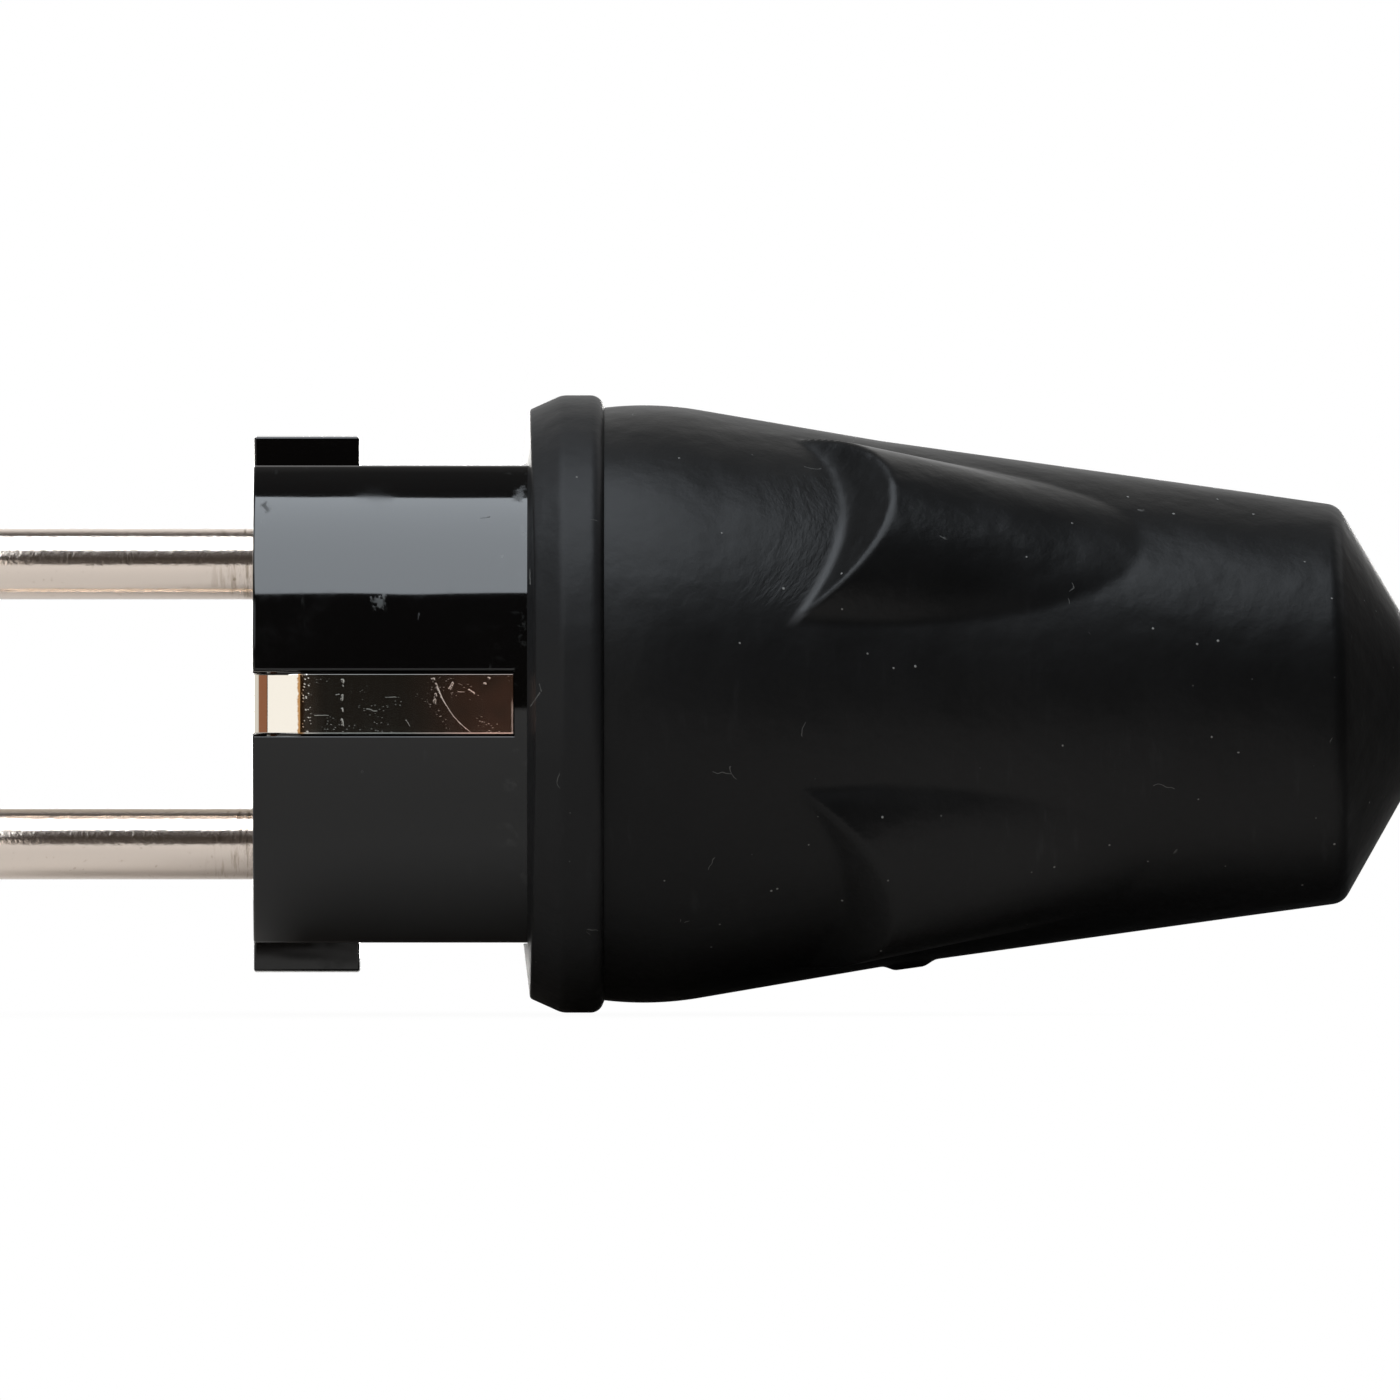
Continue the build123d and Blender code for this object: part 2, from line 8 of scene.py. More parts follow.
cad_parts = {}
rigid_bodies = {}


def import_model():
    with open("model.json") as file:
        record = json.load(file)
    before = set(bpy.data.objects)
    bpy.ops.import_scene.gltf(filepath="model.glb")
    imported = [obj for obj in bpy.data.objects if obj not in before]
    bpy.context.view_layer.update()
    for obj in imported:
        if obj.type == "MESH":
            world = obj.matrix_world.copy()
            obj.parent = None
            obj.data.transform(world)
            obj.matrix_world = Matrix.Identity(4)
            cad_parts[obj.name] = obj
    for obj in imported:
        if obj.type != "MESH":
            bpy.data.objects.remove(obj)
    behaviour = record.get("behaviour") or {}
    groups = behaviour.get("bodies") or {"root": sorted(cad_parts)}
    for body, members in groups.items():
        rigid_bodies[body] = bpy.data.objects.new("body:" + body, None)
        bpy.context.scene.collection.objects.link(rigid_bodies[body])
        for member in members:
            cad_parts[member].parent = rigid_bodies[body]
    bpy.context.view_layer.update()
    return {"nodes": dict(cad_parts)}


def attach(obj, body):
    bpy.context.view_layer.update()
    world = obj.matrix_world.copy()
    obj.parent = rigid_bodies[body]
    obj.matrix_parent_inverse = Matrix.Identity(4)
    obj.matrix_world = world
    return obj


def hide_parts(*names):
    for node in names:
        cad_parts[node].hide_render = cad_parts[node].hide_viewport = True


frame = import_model()


# Contact pins: two round bars turned from brass and nickel plated, 19 mm apart. Each has a rounded tip,
# a thicker root that fills its bore in the carrier, a collar that the terminal plate traps, and a stud
# that the terminal block is pressed on.
MM = 0.001
PIN_PITCH = 19.0
PIN_LENGTH = 19.0
PIN_RADIUS = 2.4
PIN_TIP_ROUND = 1.8
PIN_ROOT_RADIUS = 2.7
COLLAR_RADIUS = 4.0
COLLAR_START = 17.2
PLATE_FRONT = 20.2
STUD_RADIUS = 1.8
STUD_END = 26.2
COLLAR_ROUND = 0.2
STUD_ROUND = 0.3
PIN_STEP = 3.0
ARC_STEP = radians(9)
SHARP_EDGE = radians(35)
MARKED_ROOT = (-4.2, -0.4)
LOWER_PIN_TOP = (-7.45, -7.22)
BELOW_AXIS = (0.0, -1.0)
NICKEL = (0.87, 0.765, 0.685, 1)
NICKEL_DARKER = (0.4, 0.32, 0.24, 1)


class Value:
    """One output of a node: sums with it add Math nodes to its tree, and node() adds any other kind."""

    def __init__(self, tree, socket=None):
        self.tree = tree
        self.socket = socket

    def feed(self, target, inputs):
        """Gives a node's inputs their values or links."""
        for name, given in inputs.items():
            if isinstance(given, Value):
                self.tree.links.new(given.socket, target.inputs[name])
            else:
                target.inputs[name].default_value = given

    def node(self, kind, settings=None, inputs=None, output=0):
        made = self.tree.nodes.new(kind)
        for name, setting in (settings or {}).items():
            if name == "stops":
                ramp = made.color_ramp
                while len(ramp.elements) < len(setting):
                    ramp.elements.new(1.0)
                for element, (place, colour) in zip(ramp.elements, setting):
                    element.position = place
                    element.color = colour
            else:
                setattr(made, name, setting)
        self.feed(made, inputs or {})
        return Value(self.tree, made.outputs[output])

    def output(self, name):
        """Another output of the same node."""
        return Value(self.tree, self.socket.node.outputs[name])

    def math(self, operation, *others):
        return self.node("ShaderNodeMath", {"operation": operation}, dict(enumerate((self, *others))))

    def __add__(self, other):
        return self.math("ADD", other)

    def __sub__(self, other):
        return self.math("SUBTRACT", other)

    def __rsub__(self, other):
        return self.node("ShaderNodeMath", {"operation": "SUBTRACT"}, {0: other, 1: self})

    def __mul__(self, other):
        return self.math("MULTIPLY", other)

    def __truediv__(self, other):
        return self.math("DIVIDE", other)

    def __rtruediv__(self, other):
        return self.node("ShaderNodeMath", {"operation": "DIVIDE"}, {0: other, 1: self})

    __radd__ = __add__
    __rmul__ = __mul__

    def rise(self, low, high):
        """0 below low and 1 above high, with a smooth step between; low may be the larger one."""
        settings = {"interpolation_type": "SMOOTHSTEP"}
        return self.node("ShaderNodeMapRange", settings, {0: self, 1: low, 2: high})

    def rise_mm(self, low, high):
        """The same step between two places in millimetres."""
        return self.rise(low * MM, high * MM)

    def band_mm(self, low, full, last, high):
        """1 from full to last, and 0 below low and above high, in millimetres."""
        return self.rise_mm(low, full) * self.rise_mm(high, last)

    def length_with(self, other):
        """The length of two distances at right angles."""
        return (self * self + other * other).math("SQRT")

    def mix(self, first, second):
        """The first colour where this is 0, and the second where it is 1."""
        return self.node("ShaderNodeMix", {"data_type": "RGBA"}, {0: self, 6: first, 7: second}, output=2)

    def stretched(self, scale):
        """Coordinates with each axis stretched, for grain that runs one way."""
        return self.node("ShaderNodeVectorMath", {"operation": "MULTIPLY"}, {0: self, 1: scale})

    def noise(self, scale, detail=2.0, rough=0.5):
        return self.node("ShaderNodeTexNoise", None,
                         {"Vector": self, "Scale": scale, "Detail": detail, "Roughness": rough})

    def cells(self, scale, feature="F1", output="Distance"):
        return self.node("ShaderNodeTexVoronoi", {"feature": feature}, {"Vector": self, "Scale": scale},
                         output=output)

    def parts(self):
        """The X, Y and Z of a vector."""
        x = self.node("ShaderNodeSeparateXYZ", None, {0: self})
        return x, x.output("Y"), x.output("Z")

    def vector(self, x, y, z):
        """A vector of three values."""
        return self.node("ShaderNodeCombineXYZ", None, {"X": x, "Y": y, "Z": z})

    def bump(self, strength, distance):
        """This height as a bumped normal."""
        return self.node("ShaderNodeBump", None, {"Height": self, "Strength": strength, "Distance": distance})


def new_material(name):
    """A material, its Principled shader and its Object coordinates."""
    made = bpy.data.materials.new(name)
    made.use_nodes = True
    shader = made.node_tree.nodes["Principled BSDF"]
    place = Value(made.node_tree).node("ShaderNodeTexCoord", None, None, output="Object")
    return made, shader, place


def rounded_line(corners, step):
    """A line of points through corners of x, radius, round and longest step after the corner."""
    points = []
    for index, (x, y, bend, *run) in enumerate(corners):
        here = Vector((x, y))
        if bend and 0 < index < len(corners) - 1:
            back = (Vector(corners[index - 1][:2]) - here).normalized()
            ahead = (Vector(corners[index + 1][:2]) - here).normalized()
            half = back.angle(ahead) / 2
            centre = here + (back + ahead).normalized() * (bend / sin(half))
            start = here + back * (bend / tan(half)) - centre
            sweep = start.angle_signed(here + ahead * (bend / tan(half)) - centre)
            count = max(4, round(abs(sweep) / ARC_STEP))
            arc = []
            for turn in range(count + 1):
                arc.append(centre + Matrix.Rotation(-sweep * turn / count, 2) @ start)
        else:
            arc = [here]
        if points:
            gap = (arc[0] - points[-1]).length
            pieces = max(1, round(gap / spacing))
            last = points[-1]
            points += [last.lerp(arc[0], part / pieces) for part in range(1, pieces)]
        points += arc
        spacing = run[0] if run else step
    return points


def new_object(name, data):
    """An object with that data, in the scene."""
    made = bpy.data.objects.new(name, data)
    bpy.context.scene.collection.objects.link(made)
    return made


def edge_chain(name, points, **attributes):
    """A chain of edges through points, in metres: the outline or path for a tree."""
    mesh = bpy.data.meshes.new(name)
    edges = [(index, index + 1) for index in range(len(points) - 1)]
    mesh.from_pydata(points, edges, [])
    for key, values in attributes.items():
        mesh.attributes.new(key, "FLOAT", "POINT").data.foreach_set("value", values)
    return new_object(name, mesh)


def new_tree(name, inputs):
    """A Geometry Nodes tree with named inputs; gives the tree and each input as a Value."""
    tree = bpy.data.node_groups.new(name, "GeometryNodeTree")
    tree.interface.new_socket("Geometry", in_out="INPUT", socket_type="NodeSocketGeometry")
    for key in inputs:
        kind = "NodeSocketInt" if isinstance(inputs[key], int) else "NodeSocketFloat"
        tree.interface.new_socket(key, in_out="INPUT", socket_type=kind)
    tree.interface.new_socket("Geometry", in_out="OUTPUT", socket_type="NodeSocketGeometry")
    start = tree.nodes.new("NodeGroupInput")
    return tree, {socket.name: Value(tree, socket) for socket in start.outputs if socket.name}


def keep_result(piece):
    """Makes what a piece's modifiers show its own mesh, and removes them."""
    evaluated = piece.evaluated_get(bpy.context.evaluated_depsgraph_get())
    mesh = bpy.data.meshes.new_from_object(evaluated)
    piece.modifiers.clear()
    piece.data = mesh


def run_tree(piece, tree, inputs, result, material):
    """Ends a tree in Realize Instances and Set Material, sets its inputs and keeps its result."""
    whole = result.node("GeometryNodeRealizeInstances", None, {"Geometry": result})
    dressed = whole.node("GeometryNodeSetMaterial", None, {"Geometry": whole, "Material": material})
    end = tree.nodes.new("NodeGroupOutput")
    tree.links.new(dressed.socket, end.inputs[0])
    modifier = piece.modifiers.new(tree.name, "NODES")
    modifier.node_group = tree
    for socket in tree.interface.items_tree:
        if socket.in_out == "INPUT" and socket.name in inputs:
            modifier[socket.identifier] = inputs[socket.name]
    keep_result(piece)


def settle_normals(piece, angle):
    """Keeps edges sharper than the angle crisp, and large faces true beside small rounds."""
    piece.data.shade_smooth()
    piece.data.set_sharp_from_angle(angle=angle)
    modifier = piece.modifiers.new("face_weight", "WEIGHTED_NORMAL")
    modifier.keep_sharp = True
    keep_result(piece)


def sampled(profile, number, value, kind):
    """What a value of the outline is at its point of that number."""
    return profile.node("GeometryNodeSampleIndex", {"data_type": kind, "domain": "POINT"},
                        {"Geometry": profile, "Value": value, "Index": number})


def turned_grid(profile, turns):
    """The nodes of a turned shape: its grid, and each point's number on the outline, angle, x and radius."""
    count = profile.node("GeometryNodeAttributeDomainSize", {"component": "MESH"}, {"Geometry": profile})
    grid = profile.node("GeometryNodeMeshGrid", None,
                        {"Size X": 1.0, "Size Y": 1.0, "Vertices X": count, "Vertices Y": turns + 1})
    across, around, _ = grid.node("GeometryNodeInputPosition").parts()
    number = ((across + 0.5) * (count - 1)).math("ROUND")
    angle = (around + 0.5) * (2 * pi)
    outline = sampled(profile, number, grid.node("GeometryNodeInputPosition"), "FLOAT_VECTOR")
    along, _, radius = outline.parts()
    return grid, number, angle, along, radius


def closed_turning(grid, x, radius, angle):
    """Puts the grid's points round the plug's axis and closes the seam."""
    across = radius * angle.math("SINE")
    up = radius * angle.math("COSINE")
    place = grid.vector(x, across, up)
    put = grid.node("GeometryNodeSetPosition", None, {"Geometry": grid, "Position": place})
    joined = put.node("GeometryNodeMergeByDistance", None, {"Geometry": put, "Distance": 1e-7})
    return joined.node("GeometryNodeSetShadeSmooth", None, {"Geometry": joined})


plating, shader, place = new_material("nickel_plating")
x, _, z = place.parts()
streaks = place.stretched((60, 900, 900)).noise(1.0, 3.0)
ripples = place.noise(3000, 3.0, 0.6)
pits = place.noise(2600, 2.0).rise(0.66, 0.74)
turning_marks = place.stretched((3200, 420, 420)).noise(1.0, 3.0, 0.6).rise(0.5, 0.68)
near_face = x.rise_mm(*MARKED_ROOT) * turning_marks
# The lower pin is darker along its top
top_of_lower = z.rise_mm(*LOWER_PIN_TOP) * z.rise_mm(*BELOW_AXIS)
dull = (near_face * 0.75 + pits * 0.35 + top_of_lower).math("MINIMUM", 1.0)
place.feed(shader, {
    "Base Color": dull.mix(NICKEL, NICKEL_DARKER),
    "Metallic": 1.0,
    "Roughness": 0.12 + streaks * 0.05 + pits * 0.1,
    "Normal": (streaks * 0.002 + ripples * 0.013).bump(1.0, MM),
})

PIN_OUTLINE = rounded_line([
    (-PIN_LENGTH, 0, 0), (-PIN_LENGTH, PIN_RADIUS, PIN_TIP_ROUND),
    (0, PIN_RADIUS, 0), (0, PIN_ROOT_RADIUS, 0), (COLLAR_START, PIN_ROOT_RADIUS, 0),
    (COLLAR_START, COLLAR_RADIUS, COLLAR_ROUND), (PLATE_FRONT, COLLAR_RADIUS, COLLAR_ROUND),
    (PLATE_FRONT, STUD_RADIUS, 0), (STUD_END, STUD_RADIUS, STUD_ROUND), (STUD_END, 0, 0)], PIN_STEP)
PIN_INPUTS = {"Turns": 128, "Pitch": PIN_PITCH * MM}

tree, given = new_tree("turned_pins", PIN_INPUTS)
grid, _, angle, along, radius = turned_grid(given["Geometry"], given["Turns"])
pin = closed_turning(grid, along, radius, angle)
first = pin.vector(0.0, 0.0, given["Pitch"] / 2)
step = pin.vector(0.0, 0.0, 0.0 - given["Pitch"])
seats = pin.node("GeometryNodeMeshLine", None, {"Count": 2, "Start Location": first, "Offset": step})
pair = pin.node("GeometryNodeInstanceOnPoints", None, {"Points": seats, "Instance": pin})
pins = edge_chain("contact_pins", [(x * MM, 0, radius * MM) for x, radius in PIN_OUTLINE])
run_tree(pins, tree, PIN_INPUTS, pair, plating)
settle_normals(pins, SHARP_EDGE)
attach(pins, "root")
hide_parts("line_pin", "neutral_pin")


# Earth bracket: one nickel-plated brass strip. Its legs come out through the face, fold over the face's
# edge and lie in a groove on each side; behind the carrier they meet in a yoke with a wider pad.
STRIP_WIDTH = 4.15
STRIP_THICKNESS = 0.8
STRIP_Y = 18.15
STRIP_END = 17.6
STRIP_EDGE_ROUND = 0.15
FRONT_BEND = 3.4
INNER_BEND = 0.5
LEG_Y = 14.15
YOKE_X = 23.2
PAD_WIDTH = 7.0
PAD_HALF_LENGTH = 12.05
RIVET_HOLE_RADIUS = 1.55
RIVET_PLACES = (10.0, -6.0)
STRIP_STEP = 1.5
PAD_SLIM = 0.98
STRIP_MARKS = [
    (6.1, 1.55, 0.06, 90, 0.11, 0.35), (6.12, 1.22, 0.03, 90, 0.06, 0.2),
    (6.05, 0.4, 0.16, 80, 0.09, 0.25), (5.75, 0.62, 0.1, 10, 0.06, 0.12),
    (6.08, -0.43, 0.05, 90, 0.1, 0.35), (6.06, -1.25, 0.2, 95, 0.09, 0.25),
    (4.67, -0.79, 0.45, 0, 0.05, 0.07), (8.05, -0.47, 0.3, -15, 0.12, 0.07),
    (9.35, 0.44, 0.35, 0, 0.05, 0.09), (10.5, -1.31, 0.22, -60, 0.06, 0.1),
    (12.2, 1.67, 0.04, 0, 0.1, 0.25), (12.33, 0.35, 0.3, 85, 0.1, 0.2),
    (13.44, 1.22, 0.22, 65, 0.09, 0.25), (14.8, 0.83, 0.18, -35, 0.09, 0.25),
    (15.97, 1.74, 0.03, 0, 0.08, 0.25), (15.7, 1.35, 0.02, 0, 0.08, 0.25),
    (14.1, 0.8, 0.2, 0, 0.05, 0.07),
]
FLAT_START = (3.25, 3.4)
CROWDED_END = (4.1, 3.7)
TARNISH_RISE = (3.2, 5.0)
BROWN_RISE = (9.5, 16.8)
STAIN = (3.0, 3.12, 3.3, 3.6)
STAIN_WANDER = 0.25
UPPER_EDGE = (1.9, 2.02)
UPPER_EDGE_START = (3.0, 3.4)
# Painted glint: a pale colour on the lower half of the strip's end edge
PAINTED_END_GLINT = (17.44, 17.52)
PAINTED_GLINT_HEIGHT = (0.6, -0.6)
SCRATCH_CENTRE = (18.6, 3.3)
SCRATCH_RADIUS = 6.5
SCRATCH_WANDER = 0.1
SCRATCH_HALF_WIDTH = 0.045
SCRATCH_WIDENING = 0.05
SCRATCH_WIDER = (-0.4, 0.9)
SCRATCH_END = (14.9, 13.8)
SCRATCH_TOP = (1.45, 1.3)
SCRATCH_AND_GLINT_PALE = (0.95, 0.9, 0.85, 1)
STRIP_NICKEL = (0.74, 0.71, 0.66, 1)
STRIP_OLIVE = (0.29, 0.31, 0.3, 1)
STRIP_BROWN = (0.85, 0.56, 0.46, 1)
STRIP_STAIN = (0.4, 0.22, 0.09, 1)
STRIP_EDGE = (0.07, 0.065, 0.06, 1)


def small_marks(x, z, ragged, marks, soft=0.6):
    """Strokes, such as nicks, fibres or a painted glint, at x and z, each with its half length, slant in
    degrees, half width and strength.
    """
    found = x * 0.0
    for centre_x, centre_z, half, slant, width, strength in marks:
        from_x = x - centre_x * MM
        from_z = z - centre_z * MM
        turn = radians(slant)
        along = from_x * cos(turn) + from_z * sin(turn)
        off = from_z * cos(turn) - from_x * sin(turn)
        past = (along.math("ABSOLUTE") - half * MM).math("MAXIMUM", 0.0)
        nick = (past.length_with(off) / (width * MM) + ragged).rise(1.0, 1.0 - soft)
        found = found.math("MAXIMUM", nick * strength)
    return found


strip_finish, shader, place = new_material("strip_plating")
x, _, z = place.parts()
grain = place.stretched((1200, 1200, 90)).noise(1.0, 3.0)
past_bend = x.rise_mm(*FLAT_START)
crowded = past_bend * x.rise_mm(*CROWDED_END)
where = place.noise(620, 2.0).rise(0.5, 0.6).math("MAXIMUM", crowded) * past_bend
dots = place.cells(4600).rise(0.3, 0.12) * where * (0.045 + crowded * 0.3)
nicks = small_marks(x, z, (place.noise(4500, 2.0) - 0.5) * 2.4, STRIP_MARKS, 0.9)
# One long scratch follows an arc and breaks up along its way
from_x = x - SCRATCH_CENTRE[0] * MM + (place.noise(1300, 2.0) - 0.5) * (SCRATCH_WANDER * MM)
from_z = z - SCRATCH_CENTRE[1] * MM
off_arc = (from_x.length_with(from_z) - SCRATCH_RADIUS * MM).math("ABSOLUTE")
scratch_width = (SCRATCH_HALF_WIDTH + z.rise_mm(*SCRATCH_WIDER) * SCRATCH_WIDENING) * MM
broken = 0.35 + place.noise(1700, 3.0, 0.6).rise(0.38, 0.6) * 0.65
long_scratch = (off_arc / scratch_width).rise(1.0, 0.3) * broken
long_scratch = long_scratch * x.rise_mm(*SCRATCH_END) * z.rise_mm(*SCRATCH_TOP)
# A painted glint on the lower half of the end edge, mixed into the marks in their pale colour
painted_end_glint = x.rise_mm(*PAINTED_END_GLINT) * z.rise_mm(*PAINTED_GLINT_HEIGHT)
marks = dots.math("MAXIMUM", nicks).math("MAXIMUM", long_scratch * 0.5).math("MAXIMUM", painted_end_glint * 0.3)
# The plating is stained at the end of the bend, olive past it and brown towards the hood
browned = x.rise_mm(*BROWN_RISE) * (0.6 + place.noise(300, 3.0).rise(0.3, 0.6) * 0.4)
flat_colour = browned.mix(STRIP_OLIVE, STRIP_BROWN)
wavy_x = x + (place.noise(3800, 2.0) - 0.5) * (STAIN_WANDER * MM)
bend_colour = wavy_x.band_mm(*STAIN).mix(STRIP_NICKEL, STRIP_STAIN)
edged = z.rise_mm(*UPPER_EDGE) * x.rise_mm(*UPPER_EDGE_START)
plain = edged.mix(x.rise_mm(*TARNISH_RISE).mix(bend_colour, flat_colour), STRIP_EDGE)
place.feed(shader, {
    "Base Color": marks.mix(plain, SCRATCH_AND_GLINT_PALE),
    "Metallic": 1.0,
    "Roughness": 0.035 + grain * 0.03 + marks * 0.35,
    "Normal": (grain * 0.0015 - marks * 0.02).bump(1.0, MM),
})


def strip_half_line():
    """The strip's middle line from its free end at -Y to the middle of the yoke."""
    half = STRIP_THICKNESS / 2
    side = -STRIP_Y + half
    leg = -LEG_Y + half
    return rounded_line([
        (STRIP_END, side, 0), (half, side, FRONT_BEND - half), (half, leg, INNER_BEND + half),
        (YOKE_X + half, leg, INNER_BEND + half), (YOKE_X + half, 0, 0)], STRIP_STEP)


half_line = [(point.x, point.y, 0) for point in strip_half_line()]
whole_line = half_line + [(along, -across, 0) for along, across, _ in reversed(half_line[:-1])]
BRACKET_INPUTS = {"Width": STRIP_WIDTH * MM, "Thickness": STRIP_THICKNESS * MM,
                  "Edge Round": STRIP_EDGE_ROUND * MM, "Pad Width": PAD_WIDTH * MM,
                  "Pad Length": 2 * PAD_HALF_LENGTH * MM, "Rivet Hole": RIVET_HOLE_RADIUS * MM}
tree, given = new_tree("bent_strip", BRACKET_INPUTS)
path = given["Geometry"].node("GeometryNodeMeshToCurve", None, {"Mesh": given["Geometry"]})
section = path.node("GeometryNodeCurvePrimitiveQuadrilateral", {"mode": "RECTANGLE"},
                    {"Width": given["Thickness"], "Height": given["Width"]})
section = section.node("GeometryNodeFilletCurve", {"mode": "POLY"},
                       {"Curve": section, "Radius": given["Edge Round"], "Count": 4})
strip = path.node("GeometryNodeCurveToMesh", None,
                  {"Curve": path, "Profile Curve": section, "Fill Caps": True})
pad_size = path.vector(given["Thickness"] * PAD_SLIM, given["Pad Length"], given["Pad Width"])
pad = path.node("GeometryNodeMeshCube", None, {"Size": pad_size})
yoke_middle = (YOKE_X + STRIP_THICKNESS / 2) * MM
pad = pad.node("GeometryNodeTransform", None, {"Geometry": pad, "Translation": (yoke_middle, 0, 0)})
bracket = strip.node("GeometryNodeMeshBoolean", {"operation": "UNION"}, {"Mesh 2": strip})
bracket.feed(bracket.socket.node, {"Mesh 2": pad})
for rivet_y in RIVET_PLACES:
    rivet = path.node("GeometryNodeMeshCylinder", None,
                      {"Vertices": 48, "Radius": given["Rivet Hole"], "Depth": 4 * MM})
    rivet = rivet.node("GeometryNodeTransform", None,
                       {"Geometry": rivet, "Rotation": (0, pi / 2, 0),
                        "Translation": (yoke_middle, rivet_y * MM, 0)})
    bracket = bracket.node("GeometryNodeMeshBoolean", {"operation": "DIFFERENCE"},
                           {"Mesh 1": bracket, "Mesh 2": rivet})
strip_piece = edge_chain("earth_strip", [Vector(point) * MM for point in whole_line])
run_tree(strip_piece, tree, BRACKET_INPUTS, bracket, strip_finish)
settle_normals(strip_piece, SHARP_EDGE)
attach(strip_piece, "root")
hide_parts("earth_bracket")


# Earth socket: a plated sleeve behind the third hole of the face, riveted to the bracket's yoke.
# It is turned, so its solid keeps its shape and only takes the pins' plating.
def dress(nodes, material):
    """Gives solids that keep their shape a finished material."""
    for node in nodes:
        solid = frame["nodes"][node]
        solid.data.materials.clear()
        solid.data.materials.append(material)


dress(["earth_socket"], plating)


# Contact carrier: the glossy black front moulding that enters the socket outlet. It is a round cup with
# a flat above and below, two guide ears on each flat, a groove for the strip on each side and a flange
# behind, which the hood buttons over.
CARRIER_RADIUS = 18.4
FLAT_HEIGHT = 16.16
FLAT_EDGE_ROUND = 1.1
FACE_EDGE_ROUND = 0.18
CARRIER_WALL = 2.0
FACE_WALL = 3.0
FLANGE_START = 20.45
CARRIER_END = 23.2
FLANGE_RADIUS = 19.3
EAR_LENGTH = 7.15
EAR_INSIDE = 2.75
EAR_OUTSIDE = 4.65
EAR_TOP_FALL = 0.1
EAR_ROUND = 0.15
PIN_BORE_RADIUS = 2.8
PIN_BOSS_RADIUS = 5.0
COLLAR_ROOM_RADIUS = 4.1
SCREW_BOSS_RADIUS = 3.0
SCREW_PILOT_RADIUS = 1.55
SCREW_PILOT_START = 13.1
PLATE_SCREW_Y = 10.5
PLATE_SCREW_Z = 8.0
EARTH_HOLE_Y = 10.0
EARTH_HOLE_RADIUS = 2.5
SLEEVE_ROOM_RADIUS = 3.2
SLEEVE_START = 1.5
GROOVE_FIT = 0.1
GROOVE_END = STRIP_END + GROOVE_FIT
GROOVE_UPPER_ROUND = 0.4
GROOVE_LOWER_ROUND = 0.12
BEYOND = 5.0
BORE_OVERCUT = 0.5
SIDE_STEPS = 60
CORNER_STEPS = 8
FLAT_STEPS = 12
FACE_STEPS = 6
WHOLE_RUN = 30.0
CARRIER_SHARP_EDGE = radians(32)
SMUDGE_PLACE = (8.5, 6.85)
SMUDGE_RADIUS = 0.5
NEAR_SIDE = (0.0, -1.0)
BY_HOOD = (15.5, 18.3)
CARRIER_SMEARS = [
    (0.85, 13.3, 0.2, 120, 0.4, 0.5), (18.0, 14.2, 0.3, 70, 0.45, 0.35), (15.7, 12.6, 0.3, 8, 0.08, 0.6),
    (11.2, 5.9, 0.2, 80, 0.12, 0.4),
]
CARRIER_BLACK = (0.0014, 0.0014, 0.0015, 1)
CARRIER_SCUFFED = (0.045, 0.047, 0.045, 1)


def carrier_ring(inset):
    """The carrier's outline, drawn in by inset, as points of y and z."""
    radius = CARRIER_RADIUS - inset
    flat = FLAT_HEIGHT - inset
    centre_z = flat - FLAT_EDGE_ROUND
    centre_y = sqrt((radius - FLAT_EDGE_ROUND) ** 2 - centre_z ** 2)
    corner = atan2(centre_z, centre_y)
    turns = [corner * part / SIDE_STEPS for part in range(SIDE_STEPS)]
    quarter = [(radius * cos(turn), radius * sin(turn)) for turn in turns]
    for part in range(CORNER_STEPS + 1):
        turn = corner + (pi / 2 - corner) * part / CORNER_STEPS
        quarter.append((centre_y + FLAT_EDGE_ROUND * cos(turn), centre_z + FLAT_EDGE_ROUND * sin(turn)))
    for part in range(1, FLAT_STEPS):
        quarter.append((centre_y * (1 - part / FLAT_STEPS), flat))
    ring = quarter + [(0, flat)] + [(-y, z) for y, z in reversed(quarter[1:])]
    return ring + [(-y, -z) for y, z in quarter] + [(0, -flat)] + [(y, -z) for y, z in reversed(quarter[1:])]


def lofted(name, rings):
    """A closed mesh through rings of points, each with its x, in millimetres."""
    shape = bmesh.new()
    made = [[shape.verts.new((x * MM, y * MM, z * MM)) for y, z in ring] for x, ring in rings]
    count = len(made[0])
    for low, high in zip(made, made[1:]):
        for index in range(count):
            after = (index + 1) % count
            shape.faces.new((low[index], low[after], high[after], high[index]))
    shape.faces.new(reversed(made[0]))
    shape.faces.new(made[-1])
    bmesh.ops.recalc_face_normals(shape, faces=shape.faces)
    mesh = bpy.data.meshes.new(name)
    shape.to_mesh(mesh)
    shape.free()
    return new_object(name, mesh)


def round_bar(name, start, end, radius, y=0.0, z=0.0, turns=96):
    """A bar along the plug's axis, for a boss or a bore."""
    ring = []
    for index in range(turns):
        turn = 2 * pi * (index + 0.5) / turns
        ring.append((y + radius * cos(turn), z + radius * sin(turn)))
    return lofted(name, [(start, ring), (end, ring)])


